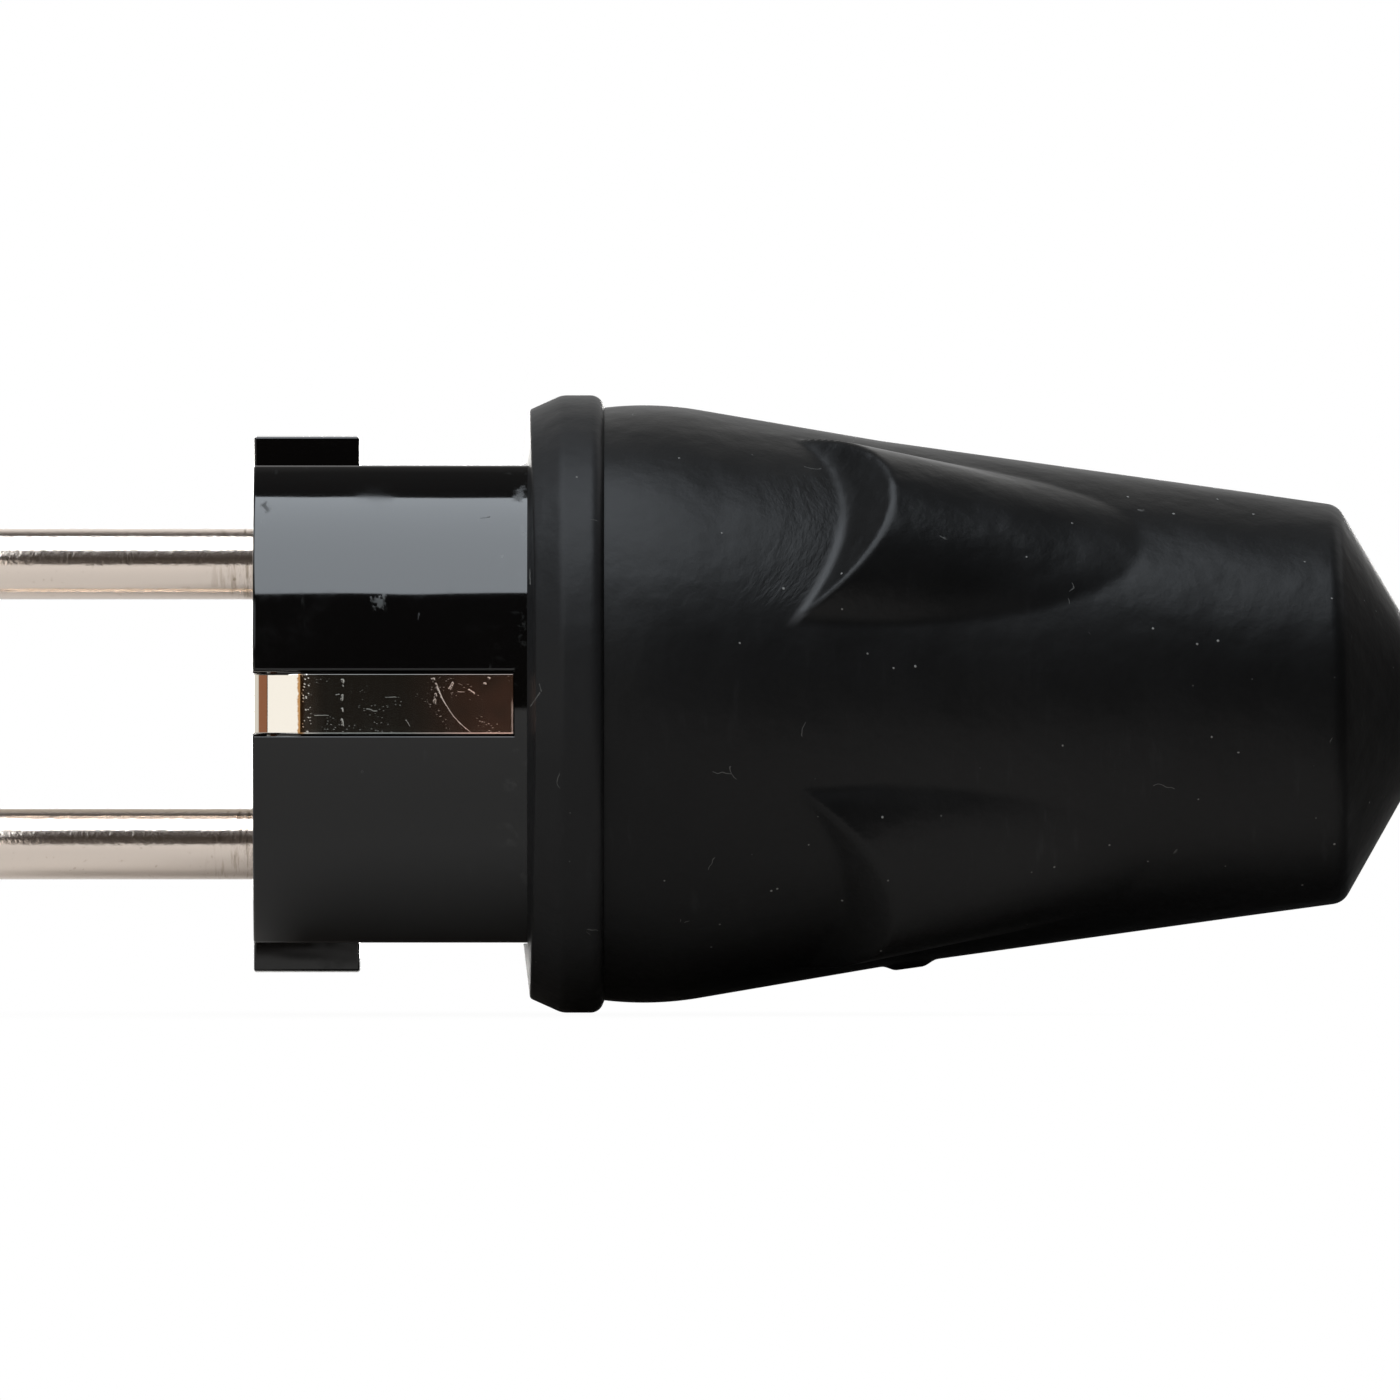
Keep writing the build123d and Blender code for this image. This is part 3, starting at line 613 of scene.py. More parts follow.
def guide_ear(side, up):
    """One ear: a block on the flat, almost as high as the carrier's round outline."""
    bottom = FLAT_HEIGHT - CARRIER_WALL / 2
    outline = [(EAR_INSIDE, bottom), (EAR_OUTSIDE, bottom)]
    top = sqrt(CARRIER_RADIUS ** 2 - EAR_INSIDE ** 2)
    outline += [(EAR_OUTSIDE, top - EAR_TOP_FALL), (EAR_INSIDE, top)]
    ring = [(side * y, up * z) for y, z in outline]
    ear = lofted("ear", [(0, ring), (EAR_LENGTH, ring)])
    shape = bmesh.new()
    shape.from_mesh(ear.data)
    sharp = [edge for edge in shape.edges if edge.calc_face_angle() > SHARP_EDGE]
    bmesh.ops.bevel(shape, geom=sharp, offset=EAR_ROUND * MM, segments=4, profile=0.5, affect="EDGES")
    shape.to_mesh(ear.data)
    shape.free()
    return ear


def strip_groove(side):
    """The room for one leg of the strip: round the face's edge, along the side and through the face."""
    floor = STRIP_Y - STRIP_THICKNESS - GROOVE_FIT
    nose_x = STRIP_THICKNESS + GROOVE_FIT
    slot_outer = LEG_Y + GROOVE_FIT
    slot_inner = LEG_Y - STRIP_THICKNESS - GROOVE_FIT
    inside_x = FACE_WALL + BEYOND
    outside_y = CARRIER_RADIUS + BEYOND
    nose = rounded_line([(GROOVE_END, floor, 0), (nose_x, floor, FRONT_BEND - nose_x),
                         (nose_x, slot_outer, INNER_BEND - GROOVE_FIT), (inside_x, slot_outer, 0)], WHOLE_RUN)
    outline = [(point.x, point.y) for point in nose]
    outline += [(inside_x, slot_inner), (-BEYOND, slot_inner), (-BEYOND, outside_y), (GROOVE_END, outside_y)]
    half_width = STRIP_WIDTH / 2 + GROOVE_FIT
    groove = lofted("groove", [(-half_width, outline), (half_width, outline)])
    turned_over = [(y, side * z, x) for x, y, z in (vertex.co for vertex in groove.data.vertices)]
    for vertex, place in zip(groove.data.vertices, turned_over):
        vertex.co = place
    if side < 0:
        groove.data.flip_normals()
    return groove


def groove_edge(side, up, bend):
    """What rounds the edge above or below a groove: the room outside a quarter turn."""
    edge_z = STRIP_WIDTH / 2 + GROOVE_FIT
    edge_y = sqrt(CARRIER_RADIUS ** 2 - edge_z ** 2)
    outline = [(edge_y + BEYOND, edge_z - GROOVE_FIT), (edge_y - bend, edge_z - GROOVE_FIT)]
    for part in range(CORNER_STEPS + 1):
        turn = pi / 2 * part / CORNER_STEPS
        outline.append((edge_y - bend * (1 - sin(turn)), edge_z + bend * (1 - cos(turn))))
    outline.append((edge_y + BEYOND, edge_z + bend))
    ring = [(side * y, up * z) for y, z in outline]
    return lofted("groove_edge", [(-BEYOND, ring), (GROOVE_END, ring)])


def combine(piece, *steps):
    """Adds and cuts groups of shapes, keeps the result as the piece's mesh and removes the shapes."""
    groups = []
    for operation, shapes in steps:
        group = bpy.data.collections.new(operation)
        for shape in shapes:
            group.objects.link(shape)
        modifier = piece.modifiers.new(operation, "BOOLEAN")
        modifier.operation = operation
        modifier.operand_type = "COLLECTION"
        modifier.collection = group
        modifier.solver = "EXACT"
        groups.append(group)
    keep_result(piece)
    for group in groups:
        for shape in list(group.objects):
            bpy.data.objects.remove(shape)
        bpy.data.collections.remove(group)
    settle_normals(piece, CARRIER_SHARP_EDGE)


def carrier_body():
    """The carrier's outline as a solid bar, with a rounded edge at the face."""
    rings = []
    for part in range(FACE_STEPS + 1):
        turn = pi / 2 * part / FACE_STEPS
        inset = FACE_EDGE_ROUND * (1 - sin(turn))
        rings.append((FACE_EDGE_ROUND * (1 - cos(turn)), carrier_ring(inset)))
    rings.append((CARRIER_END, carrier_ring(0)))
    return lofted("carrier", rings)


gloss, shader, place = new_material("glossy_moulding")
x, y, z = place.parts()
waves = place.stretched((70, 240, 240)).noise(1.0, 2.0)
hairs = place.stretched((1400, 260, 260)).noise(1.0, 4.0, 0.6).rise(0.66, 0.74)
scuffs = hairs * place.noise(130, 3.0).rise(0.52, 0.7) * 0.6
scuffs = scuffs + x.rise_mm(*BY_HOOD) * place.noise(900, 4.0, 0.65).rise(0.56, 0.68) * 0.3
specks = place.cells(520).rise(0.085, 0.04) * place.cells(520, output="Color").rise(0.75, 0.8)
from_x = x - SMUDGE_PLACE[0] * MM
from_z = z - SMUDGE_PLACE[1] * MM
ragged = place.stretched((1.0, 1.0, 0.6)).noise(2300, 4.0, 0.7) - 0.5
off_smudge = (from_x * from_x + from_z * from_z * 0.6).math("SQRT") / (SMUDGE_RADIUS * MM)
smudge = (off_smudge + ragged * 5).rise(1.0, 0.2) * off_smudge.rise(2.6, 1.2) * y.rise_mm(*NEAR_SIDE) * 0.6
marks = (scuffs + specks * 0.6 + smudge).math("MINIMUM", 1.0)
smears = small_marks(x, z, ragged * 2.5, CARRIER_SMEARS, 1.3)
smears = smears + place.noise(170, 4.0, 0.65).rise(0.5, 0.75) * 0.12
place.feed(shader, {
    "Base Color": marks.mix(CARRIER_BLACK, CARRIER_SCUFFED),
    "Roughness": 0.05 + marks * 0.3 + smears,
    "IOR": 1.47,
    "Normal": (waves * 0.022 + marks * 0.002).bump(1.0, MM),
})
carrier = carrier_body()
additions = [round_bar("flange", FLANGE_START, CARRIER_END, FLANGE_RADIUS, turns=256)]
additions += [guide_ear(side, up) for side in (1, -1) for up in (1, -1)]
inner_ring = carrier_ring(CARRIER_WALL)
hollow = lofted("hollow", [(FACE_WALL, inner_ring), (CARRIER_END + BEYOND, inner_ring)])
bosses = []
cuts = [strip_groove(1), strip_groove(-1),
        round_bar("earth_hole", -BEYOND, FACE_WALL + BEYOND, EARTH_HOLE_RADIUS, y=EARTH_HOLE_Y),
        round_bar("sleeve_room", SLEEVE_START, FACE_WALL + BEYOND, SLEEVE_ROOM_RADIUS, y=EARTH_HOLE_Y)]
for side in (1, -1):
    cuts.append(groove_edge(side, 1, GROOVE_UPPER_ROUND))
    cuts.append(groove_edge(side, -1, GROOVE_LOWER_ROUND))
    pin_z = side * PIN_PITCH / 2
    at_screw = {"y": -side * PLATE_SCREW_Y, "z": side * PLATE_SCREW_Z}
    bosses.append(round_bar("pin_boss", FACE_WALL / 2, COLLAR_START, PIN_BOSS_RADIUS, z=pin_z))
    bosses.append(round_bar("screw_boss", FACE_WALL / 2, PLATE_FRONT, SCREW_BOSS_RADIUS, **at_screw))
    cuts.append(round_bar("pin_bore", -BEYOND, COLLAR_START + BORE_OVERCUT, PIN_BORE_RADIUS, z=pin_z))
    cuts.append(round_bar("collar_room", COLLAR_START, PLATE_FRONT, COLLAR_ROOM_RADIUS, z=pin_z))
    cuts.append(round_bar("pilot", SCREW_PILOT_START, PLATE_FRONT + BEYOND, SCREW_PILOT_RADIUS, **at_screw))
combine(carrier, ("UNION", additions), ("DIFFERENCE", [hollow]), ("UNION", bosses), ("DIFFERENCE", cuts))
carrier.data.materials.append(gloss)
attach(carrier, "root")
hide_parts("contact_carrier")


# Terminal plate and cable clamp: dull black mouldings that close the carrier from behind and hold the
# cable. They are moulded with a fine grain, and their solids keep their shape.
MOULDING_BLACK = (0.03, 0.03, 0.031, 1)
MOULDING_WORN = (0.06, 0.06, 0.06, 1)
moulding, shader, place = new_material("dull_moulding")
grain = place.noise(900, 4.0)
patches = place.noise(120, 3.0)
place.feed(shader, {
    "Base Color": patches.rise(0.4, 0.7).mix(MOULDING_BLACK, MOULDING_WORN),
    "Roughness": 0.5 + grain * 0.2,
    "Normal": grain.bump(0.2, 0.05 * MM),
})
dress(["terminal_plate", "cable_clamp"], moulding)


# Terminals: blocks sawn from drawn brass bar, one on each pin's stud and one riveted to the yoke. A wire
# goes into the bore of each, where a screw holds it. Their solids keep their shape.
BRASS = (0.72, 0.52, 0.24, 1)
BRASS_DARK = (0.42, 0.28, 0.12, 1)
brass, shader, place = new_material("drawn_brass")
drawn = place.stretched((80, 1100, 1100)).noise(1.0, 4.0)
stains = place.noise(240, 4.0)
place.feed(shader, {
    "Base Color": stains.rise(0.45, 0.75).mix(BRASS, BRASS_DARK),
    "Metallic": 1.0,
    "Roughness": 0.22 + drawn * 0.2,
    "Normal": drawn.bump(0.2, 0.03 * MM),
})
dress(["line_terminal", "neutral_terminal", "earth_terminal"], brass)


# Screws: zinc-plated steel with slotted cheese heads, for the wires, the plate and the cable clamp. They
# are cold headed, and their solids keep their shape.
ZINC = (0.62, 0.63, 0.65, 1)
ZINC_YELLOWED = (0.55, 0.52, 0.44, 1)
zinc, shader, place = new_material("zinc_plating")
spangle = place.cells(1500, output="Color").rise(0.2, 0.8)
film = place.noise(700, 4.0)
place.feed(shader, {
    "Base Color": film.rise(0.4, 0.7).mix(ZINC, ZINC_YELLOWED),
    "Metallic": 1.0,
    "Roughness": 0.28 + spangle * 0.14,
    "Normal": film.bump(0.15, 0.03 * MM),
})
dress(["terminal_screws", "plate_screws", "clamp_screws"], zinc)


# Rubber hood: one soft black moulding that buttons over the carrier's flange. A bulged rim, a barrel and
# a long taper are turned shapes; four tilted lugs stand on the taper as finger stops, with a scooped
# front wall, and the mould's gate leaves a low pip underneath. Its skin is dusty, scuffed and wrinkled,
# and its colour has a painted highlight in one lug's cove and a painted glint at the lip.
LIP_X = 18.25
HOOD_FIT = 0.12
FLAT_OPENING = FLAT_HEIGHT + HOOD_FIT
ROUND_OPENING = CARRIER_RADIUS + HOOD_FIT
LIP_SLANT = 0.5 / 3.79
RIM_FRONT = (18.7, 19.98)
RIM_CROWN_X = 20.85
RIM_RADIUS = 20.95
RIM_REAR_X = 23.4
STEP_X = 23.75
BARREL_CROWN_X = 26.4
BARREL_RADIUS = 20.27
BARREL_ARC = 22.6
FRONT_TAPER = radians(9.7)
WAIST_X = 42.4
REAR_TAPER = radians(7.96)
SHOULDER_X = 73.68
END_CONE = radians(60)
END_RADIUS = 6.1
HOOD_WALL = 3.2
CAVITY_END = 62.25
CABLE_BORE_RADIUS = 4.3
CABLE_BORE_LENGTH = 11.5
RIM_FRONT_ROUND = 0.3
RIM_CROWN_ROUND = 1.6
RIM_REAR_ROUND = 0.9
WAIST_ROUND = 20.0
SHOULDER_ROUND = 1.4
END_ROUND = 0.4
BORE_ROUND = 0.3
BORE_LIP = 1.0
FINE_START = 36.5
FINE_END = 61.5
RIM_STEP = 0.35
GRIP_STEP = 0.5
FINE_STEP = 0.22
TAPER_STEP = 0.6
BARREL_STEPS = 24
HOOD_SHARP_EDGE = radians(50)
HOOD_INPUTS = {
    "Turns": 360,
    "Lugs": 4,
    "Lug Radius": 9.6 * MM,
    "Lug Tilt": radians(16.4),
    "Crest Place": 43.3 * MM,
    "Crest Height": 20.332 * MM,
    "Wall Slope": radians(30.8),
    "Wall Scoop": 0.0044 / MM,
    "Crest Round": 0.35 * MM,
    "Front Cove": 0.42 * MM,
    "Side Cove": 0.25 * MM,
    "Rear Cove": 0.08 * MM,
    "Lug End": 60.0 * MM,
    "Lug Cut": 66.0 * MM,
    "Gate Place": 44.45 * MM,
    "Gate Radius": 1.9 * MM,
    "Gate Height": 0.37 * MM,
    "End Lean": 0.0145,
    "Rim Bow": 0.42 * MM,
}
RIM_BOW_END = 21.2
FIT_RADIUS = 19.5
FIT_END_X = 19.0
CREST_BLEND = 0.4
GATE_FLAT = 0.45
LEAN_RANGE = (66.0, 74.0)
# The first stroke is a painted glint on the lip's edge, the other two a fibre lying by the strip
LIP_GLINT_AND_FIBRE = [
    (18.74, 8.6, 0.5, 92, 0.06, 0.45), (19.1, 0.3, 0.55, 55, 0.045, 0.35), (19.45, 1.1, 0.25, 105, 0.04, 0.3),
]
WRINKLE_TIP_Z = 12.2
WRINKLE_CURVE = 0.085
WRINKLES_ALONG = (33.0, 37.5, 39.4, 40.3)
WRINKLES_UP = (5.5, 8.5, 14.5, 17.2)
LUG_NEAR_SIDE = (0.0, -4.0)
LIP_MARKS_NEAR_SIDE = (0.0, -2.0)
RIM_WORN = (23.8, 23.4)
LUG_PROUD = (0.3, 0.9)
LUG_START = (36.0, 38.0)
# Where the painted highlight lies, in the cove of the near upper lug's wall
HIGHLIGHT_OFF_WALL = (0.4, 0.1)
HIGHLIGHT_HEIGHT = (0.5, 0.2)
HIGHLIGHT_UP = (5.0, 6.1, 10.5, 13.5)
RUBBER_BLACK = (0.0036, 0.0036, 0.0037, 1)
RUBBER_SCUFFED = (0.012, 0.012, 0.0125, 1)
PAINTED_HIGHLIGHT_PALE = (0.032, 0.032, 0.033, 1)
DUST_AND_GLINT_PALE = (0.22, 0.22, 0.21, 1)

barrel_end_x = BARREL_CROWN_X + BARREL_ARC * sin(FRONT_TAPER)
barrel_end_radius = BARREL_RADIUS - BARREL_ARC * (1 - cos(FRONT_TAPER))


def front_taper(x):
    """The grip's radius from the barrel to the waist."""
    return barrel_end_radius - (x - barrel_end_x) * tan(FRONT_TAPER)


def rear_taper(x):
    """The grip's radius from the waist to the shoulder."""
    return waist_radius - (x - WAIST_X) * tan(REAR_TAPER)


waist_radius = front_taper(WAIST_X)
shoulder_radius = rear_taper(SHOULDER_X)
hood_end_x = SHOULDER_X + (shoulder_radius - END_RADIUS) / tan(END_CONE)
groove_front = FLANGE_START - HOOD_FIT
groove_rear = CARRIER_END + HOOD_FIT
groove_radius = FLANGE_RADIUS + HOOD_FIT


def barrel_points():
    """The barrel's bulge, from the foot of the rim to the start of the taper."""
    first = asin((STEP_X - BARREL_CROWN_X) / BARREL_ARC)
    points = []
    for part in range(BARREL_STEPS + 1):
        turn = first + (FRONT_TAPER - first) * part / BARREL_STEPS
        points.append((BARREL_CROWN_X + BARREL_ARC * sin(turn), BARREL_RADIUS - BARREL_ARC * (1 - cos(turn))))
    return points


def hood_outside():
    """The outline from the lip over the rim, barrel and taper into the cable bore, finer along the lugs."""
    barrel = barrel_points()
    rim = rounded_line([
        (LIP_X, FLAT_OPENING, 0), (*RIM_FRONT, RIM_FRONT_ROUND), (RIM_CROWN_X, RIM_RADIUS, RIM_CROWN_ROUND),
        (RIM_REAR_X, RIM_RADIUS, RIM_REAR_ROUND), (*barrel[0], 0)], RIM_STEP)
    grip = rounded_line([
        (*barrel[-1], 0), (FINE_START, front_taper(FINE_START), 0, FINE_STEP),
        (WAIST_X, waist_radius, WAIST_ROUND, FINE_STEP), (FINE_END, rear_taper(FINE_END), 0, TAPER_STEP),
        (SHOULDER_X, shoulder_radius, SHOULDER_ROUND, TAPER_STEP), (hood_end_x, END_RADIUS, END_ROUND),
        (hood_end_x, CABLE_BORE_RADIUS, BORE_ROUND, BORE_LIP),
        (hood_end_x - BORE_LIP, CABLE_BORE_RADIUS, 0)], GRIP_STEP)
    return rim + [Vector(point) for point in barrel[1:-1]] + grip


outside = hood_outside()
inside = [(hood_end_x - CABLE_BORE_LENGTH, CABLE_BORE_RADIUS),
          (CAVITY_END, rear_taper(CAVITY_END) - HOOD_WALL),
          (WAIST_X, waist_radius - HOOD_WALL), (barrel_end_x, barrel_end_radius - HOOD_WALL),
          (groove_rear, BARREL_RADIUS - HOOD_WALL), (groove_rear, groove_radius),
          (groove_front, groove_radius), (groove_front, FLAT_OPENING), (LIP_X, FLAT_OPENING)]
hood_line = outside + [Vector(point) for point in inside]
is_outside = [1.0] * len(outside) + [0.0] * (len(inside) - 1) + [1.0]
fit = []
bow = []
for point in outside:
    to_opening = (FIT_RADIUS - point.y) / (FIT_RADIUS - FLAT_OPENING)
    fit.append(max(0.0, min(1.0, to_opening)) if point.x < FIT_END_X else 0.0)
    up_face = (point.y - FLAT_OPENING) / (RIM_FRONT[1] - FLAT_OPENING)
    to_crown = (RIM_BOW_END - point.x) / (RIM_BOW_END - RIM_FRONT[0])
    bow.append(max(0.0, min(1.0, up_face, to_crown)))
fit += [0.0] * (len(inside) - 2) + [1.0, 1.0]
bow += [0.0] * len(inside)


def outline_value(profile, grid, number, key):
    """An attribute of the outline at each point of the grid."""
    named = grid.node("GeometryNodeInputNamedAttribute", {"data_type": "FLOAT"}, {"Name": key})
    return sampled(profile, number, named, "FLOAT")


tree, given = new_tree("turned_hood", HOOD_INPUTS)
profile = given["Geometry"]
grid, number, angle, along, radius = turned_grid(profile, given["Turns"])
outer = outline_value(profile, grid, number, "outside")
fitted = outline_value(profile, grid, number, "fit")
bowed = outline_value(profile, grid, number, "bow")
# The lip's opening follows the carrier: round at the sides, flat above and below
upright = angle.math("COSINE").math("ABSOLUTE").math("MAXIMUM", 0.01)
opening = (FLAT_OPENING * MM / upright).math("MINIMUM", ROUND_OPENING * MM)
shift = fitted * (opening - FLAT_OPENING * MM)
radius = radius + shift
along = along + shift * outer * LIP_SLANT
# The rim's front edge is bowed back at the sides
sideways = angle.math("SINE")
along = along + bowed * given["Rim Bow"] * sideways * sideways
# Each lug is a tilted round bar under a sloping front wall, repeated round the axis
pitch = 2 * pi / given["Lugs"]
turn = (angle / pitch).math("FRACT") * pitch - pitch / 2
side = turn.math("SINE")
top = turn.math("COSINE")
tilt_cos = given["Lug Tilt"].math("COSINE")
axis_height = given["Crest Height"] * tilt_cos - given["Lug Radius"]
axis_height = axis_height - (along - given["Crest Place"]) * given["Lug Tilt"].math("SINE")
squeezed = top * tilt_cos
spread = side * side + squeezed * squeezed
reach = squeezed * axis_height
inside_root = reach * reach - spread * (axis_height * axis_height - given["Lug Radius"] * given["Lug Radius"])
bar = (reach + inside_root.math("MAXIMUM", 0.0).math("SQRT")) / spread
bar = bar * (1 - (inside_root * 1e9).math("LESS_THAN", 0.0))
wall = given["Crest Height"] + (along - given["Crest Place"]) * given["Wall Slope"].math("TANGENT")
across = radius * side
wall = (wall + across * across * given["Wall Scoop"]) / top
lug = bar.math("SMOOTH_MIN", wall, given["Crest Round"]) * along.math("LESS_THAN", given["Lug Cut"])
rearward = ((along - given["Crest Place"]) / (given["Lug End"] - given["Crest Place"])).rise(0.0, 1.0)
on_wall = (bar - wall).rise_mm(-CREST_BLEND, CREST_BLEND)
cove = given["Side Cove"] + (given["Rear Cove"] - given["Side Cove"]) * rearward
cove = cove + (given["Front Cove"] - cove) * on_wall
lugged = radius.math("SMOOTH_MAX", lug, cove)
# The gate's pip is underneath, half a turn from the top
from_gate = (angle - pi) * radius
away = (along - given["Gate Place"]).length_with(from_gate)
lugged = lugged + given["Gate Height"] * away.rise(given["Gate Radius"], given["Gate Radius"] * GATE_FLAT)
radius = radius + (lugged - radius) * outer
# The soft end leans a little, so its shoulder is further forward above than below
along = along - radius * angle.math("COSINE") * given["End Lean"] * along.rise_mm(*LEAN_RANGE)
hood_shape = closed_turning(grid, along, radius, angle)

rubber, shader, place = new_material("black_rubber")
x, y, z = place.parts()
patches = place.noise(90, 4.0, 0.55)
grain = place.noise(2400, 3.0, 0.6)
dents = place.noise(210, 2.0, 0.5)
flow = place.stretched((900, 160, 160)).noise(1.0, 4.0, 0.6)
rubbed = flow.rise(0.56, 0.74) * patches.rise(0.5, 0.68)
pick = place.cells(640, output="Color")
specks = (place.cells(640) / (0.3 + pick)).rise(0.066, 0.025) * pick.rise(0.42, 0.7)
long_way = place.stretched((1.0, 0.6, 1.7))
fleck_pick = long_way.cells(240, output="Color")
flecks = long_way.cells(240).rise(0.032, 0.018) * fleck_pick.rise(0.62, 0.75)
wander = place.node("ShaderNodeTexNoise", None, {"Vector": place, "Scale": 500.0}, output="Color")
bent = place.node("ShaderNodeMix", {"data_type": "VECTOR"}, {0: 0.0022, 4: place, 5: wander}, output=1)
threads = bent.cells(230, "DISTANCE_TO_EDGE").rise(0.009, 0.005) * place.noise(330, 1.0).rise(0.73, 0.75)
mottle = place.noise(650, 3.0, 0.6)
# Wrinkles follow the foot of the near upper lug's wall
from_tip = z - WRINKLE_TIP_Z * MM
before_lug = x + from_tip * from_tip * (WRINKLE_CURVE / MM)
near_lug = y.rise_mm(*LUG_NEAR_SIDE)
by_lug = before_lug.band_mm(*WRINKLES_ALONG) * near_lug * z.band_mm(*WRINKLES_UP)
wrinkles = (place.vector(before_lug, y, z).stretched((620, 260, 260)).noise(1.0, 4.0, 0.65) - 0.5) * by_lug
sag = place.noise(75, 1.0)
# A painted glint on the lip's near edge and a fibre, as pale strokes mixed in with the dust
lip_glint_and_fibre = small_marks(x, z, (place.noise(3500, 2.0) - 0.5) * 1.5, LIP_GLINT_AND_FIBRE) * y.rise_mm(*LIP_MARKS_NEAR_SIDE)
dust_and_glint = specks.math("MAXIMUM", flecks).math("MAXIMUM", threads * 0.3).math("MAXIMUM", lip_glint_and_fibre)
on_rim = x.rise_mm(*RIM_WORN)
# The lugs are polished by use, and the foot of the near upper one's wall has a painted highlight along its
# cove
over_taper = y.length_with(z) - (waist_radius * MM - (x - WAIST_X * MM) * tan(REAR_TAPER))
on_lug = over_taper.rise_mm(*LUG_PROUD) * x.rise_mm(*LUG_START)
lug_up = (z - y) * sqrt(0.5)
lug_side = (z + y) * sqrt(0.5)
wall_height = HOOD_INPUTS["Crest Height"] + (x - HOOD_INPUTS["Crest Place"]) * tan(HOOD_INPUTS["Wall Slope"])
wall_height = wall_height + lug_side * lug_side * HOOD_INPUTS["Wall Scoop"]
# Painted highlight: a pale colour along the cove at the foot of the near upper lug's wall
painted_cove_highlight = (lug_up - wall_height).math("ABSOLUTE").rise_mm(*HIGHLIGHT_OFF_WALL) * over_taper.rise_mm(*HIGHLIGHT_HEIGHT)
painted_cove_highlight = painted_cove_highlight * z.band_mm(*HIGHLIGHT_UP) * near_lug
worn = (rubbed * 0.8 + patches.rise(0.35, 0.75) * 0.2 + on_rim * 0.6).math("MINIMUM", 1.0)
skin_and_highlight_colour = painted_cove_highlight.mix(worn.mix(RUBBER_BLACK, RUBBER_SCUFFED), PAINTED_HIGHLIGHT_PALE)
place.feed(shader, {
    "Base Color": (dust_and_glint * 0.85).mix(skin_and_highlight_colour, DUST_AND_GLINT_PALE),
    "Roughness": 0.33 + patches * 0.12 + grain * 0.04 + dust_and_glint * 0.2 + by_lug * 0.08 + on_rim * 0.05
                 - on_lug * 0.09,
    "Specular IOR Level": 0.14,
    "Normal": (dents * 0.16 + grain * 0.003 + flow * 0.004 + dust_and_glint * 0.03 + wrinkles * 0.17
               + mottle * 0.045 + sag * 0.4).bump(1.0, MM),
})
hood = edge_chain("rubber_hood_skin", [(point.x * MM, 0, point.y * MM) for point in hood_line],
                  outside=is_outside, fit=fit, bow=bow)
run_tree(hood, tree, HOOD_INPUTS, hood_shape, rubber)
hood.data.set_sharp_from_angle(angle=HOOD_SHARP_EDGE)
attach(hood, "root")
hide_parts("rubber_hood")


# Floor: a plain pale sheet just under the rim. The camera sees it white, as the backdrop, with a trace of
# the plug's shadow. The plug is lit by it as by a pale table, whose colour holds painted light and shade: a
# painted shadow under and behind the plug, a painted pool of light under the taper and painted shade past
# the cable end.
FLOOR_Z = -21.1
FLOOR_HALF = 900.0
# The floor's colour along the plug: pale, a painted pool of light under the taper, painted shade past the end
FLOOR_PAINTED_LIGHT = [
    (0.0, (0.505, 0.47, 0.435, 1)),
    (0.2, (0.51, 0.475, 0.44, 1)),
    (0.5, (0.78, 0.71, 0.65, 1)),
    (0.72, (0.7, 0.64, 0.59, 1)),
    (0.92, (0.13, 0.12, 0.11, 1)),
]
FLOOR_PAINTED_LIGHT_LENGTH = 110.0
PAINTED_SHADOW_TONE = (0.04, 0.04, 0.04, 1)
SHADOW_SHARE = 0.04
SHADOW_REACH = (75.0, 30.0)
PAINTED_SHADOW_SIDE = (-14.0, -3.0)
PAINTED_SHADOW_ALONG = (20.0, 35.0, 90.0, 110.0)
FAR_FLOOR = (300.0, 600.0)
WHITE = (1, 1, 1, 1)


def backdrop_share(place, behind):
    """How much of the white backdrop a ray sees: the camera all, a reflection what lies behind the plug."""
    seen = place.node("ShaderNodeLightPath")
    mirrored = (seen.output("Is Glossy Ray") + seen.output("Is Transmission Ray")) * behind
    return (seen + mirrored).math("MINIMUM", 1.0)


sheet = bpy.data.meshes.new("floor")
corners = [(-1, -1), (1, -1), (1, 1), (-1, 1)]
places = [Vector((x * FLOOR_HALF, y * FLOOR_HALF, FLOOR_Z)) * MM for x, y in corners]
sheet.from_pydata(places, [], [(0, 1, 2, 3)])
floor = new_object("floor", sheet)
paper, shader, place = new_material("pale_floor")
x, y, _ = place.parts()
painted_floor_light = place.node("ShaderNodeValToRGB", {"stops": FLOOR_PAINTED_LIGHT}, {"Fac": x / (FLOOR_PAINTED_LIGHT_LENGTH * MM)})
# A painted shadow under and behind the hood
painted_floor_shadow = y.rise_mm(*PAINTED_SHADOW_SIDE) * x.band_mm(*PAINTED_SHADOW_ALONG)
place.feed(shader, {"Base Color": painted_floor_shadow.mix(painted_floor_light, PAINTED_SHADOW_TONE), "Roughness": 0.9, "Specular IOR Level": 0.1})
white = place.node("ShaderNodeEmission", None, {"Color": WHITE})
lit = Value(paper.node_tree, shader.outputs[0])
backdrop = backdrop_share(place, y.rise_mm(*FAR_FLOOR))
distance = place.node("ShaderNodeVectorMath", {"operation": "LENGTH"}, {0: place}, output="Value")
shaded = distance.rise_mm(*SHADOW_REACH) * SHADOW_SHARE
blend = place.node("ShaderNodeMixShader", None, {0: backdrop * (1 - shaded), 1: lit, 2: white})
paper.node_tree.links.new(blend.socket, paper.node_tree.nodes["Material Output"].inputs["Surface"])
sheet.materials.append(paper)


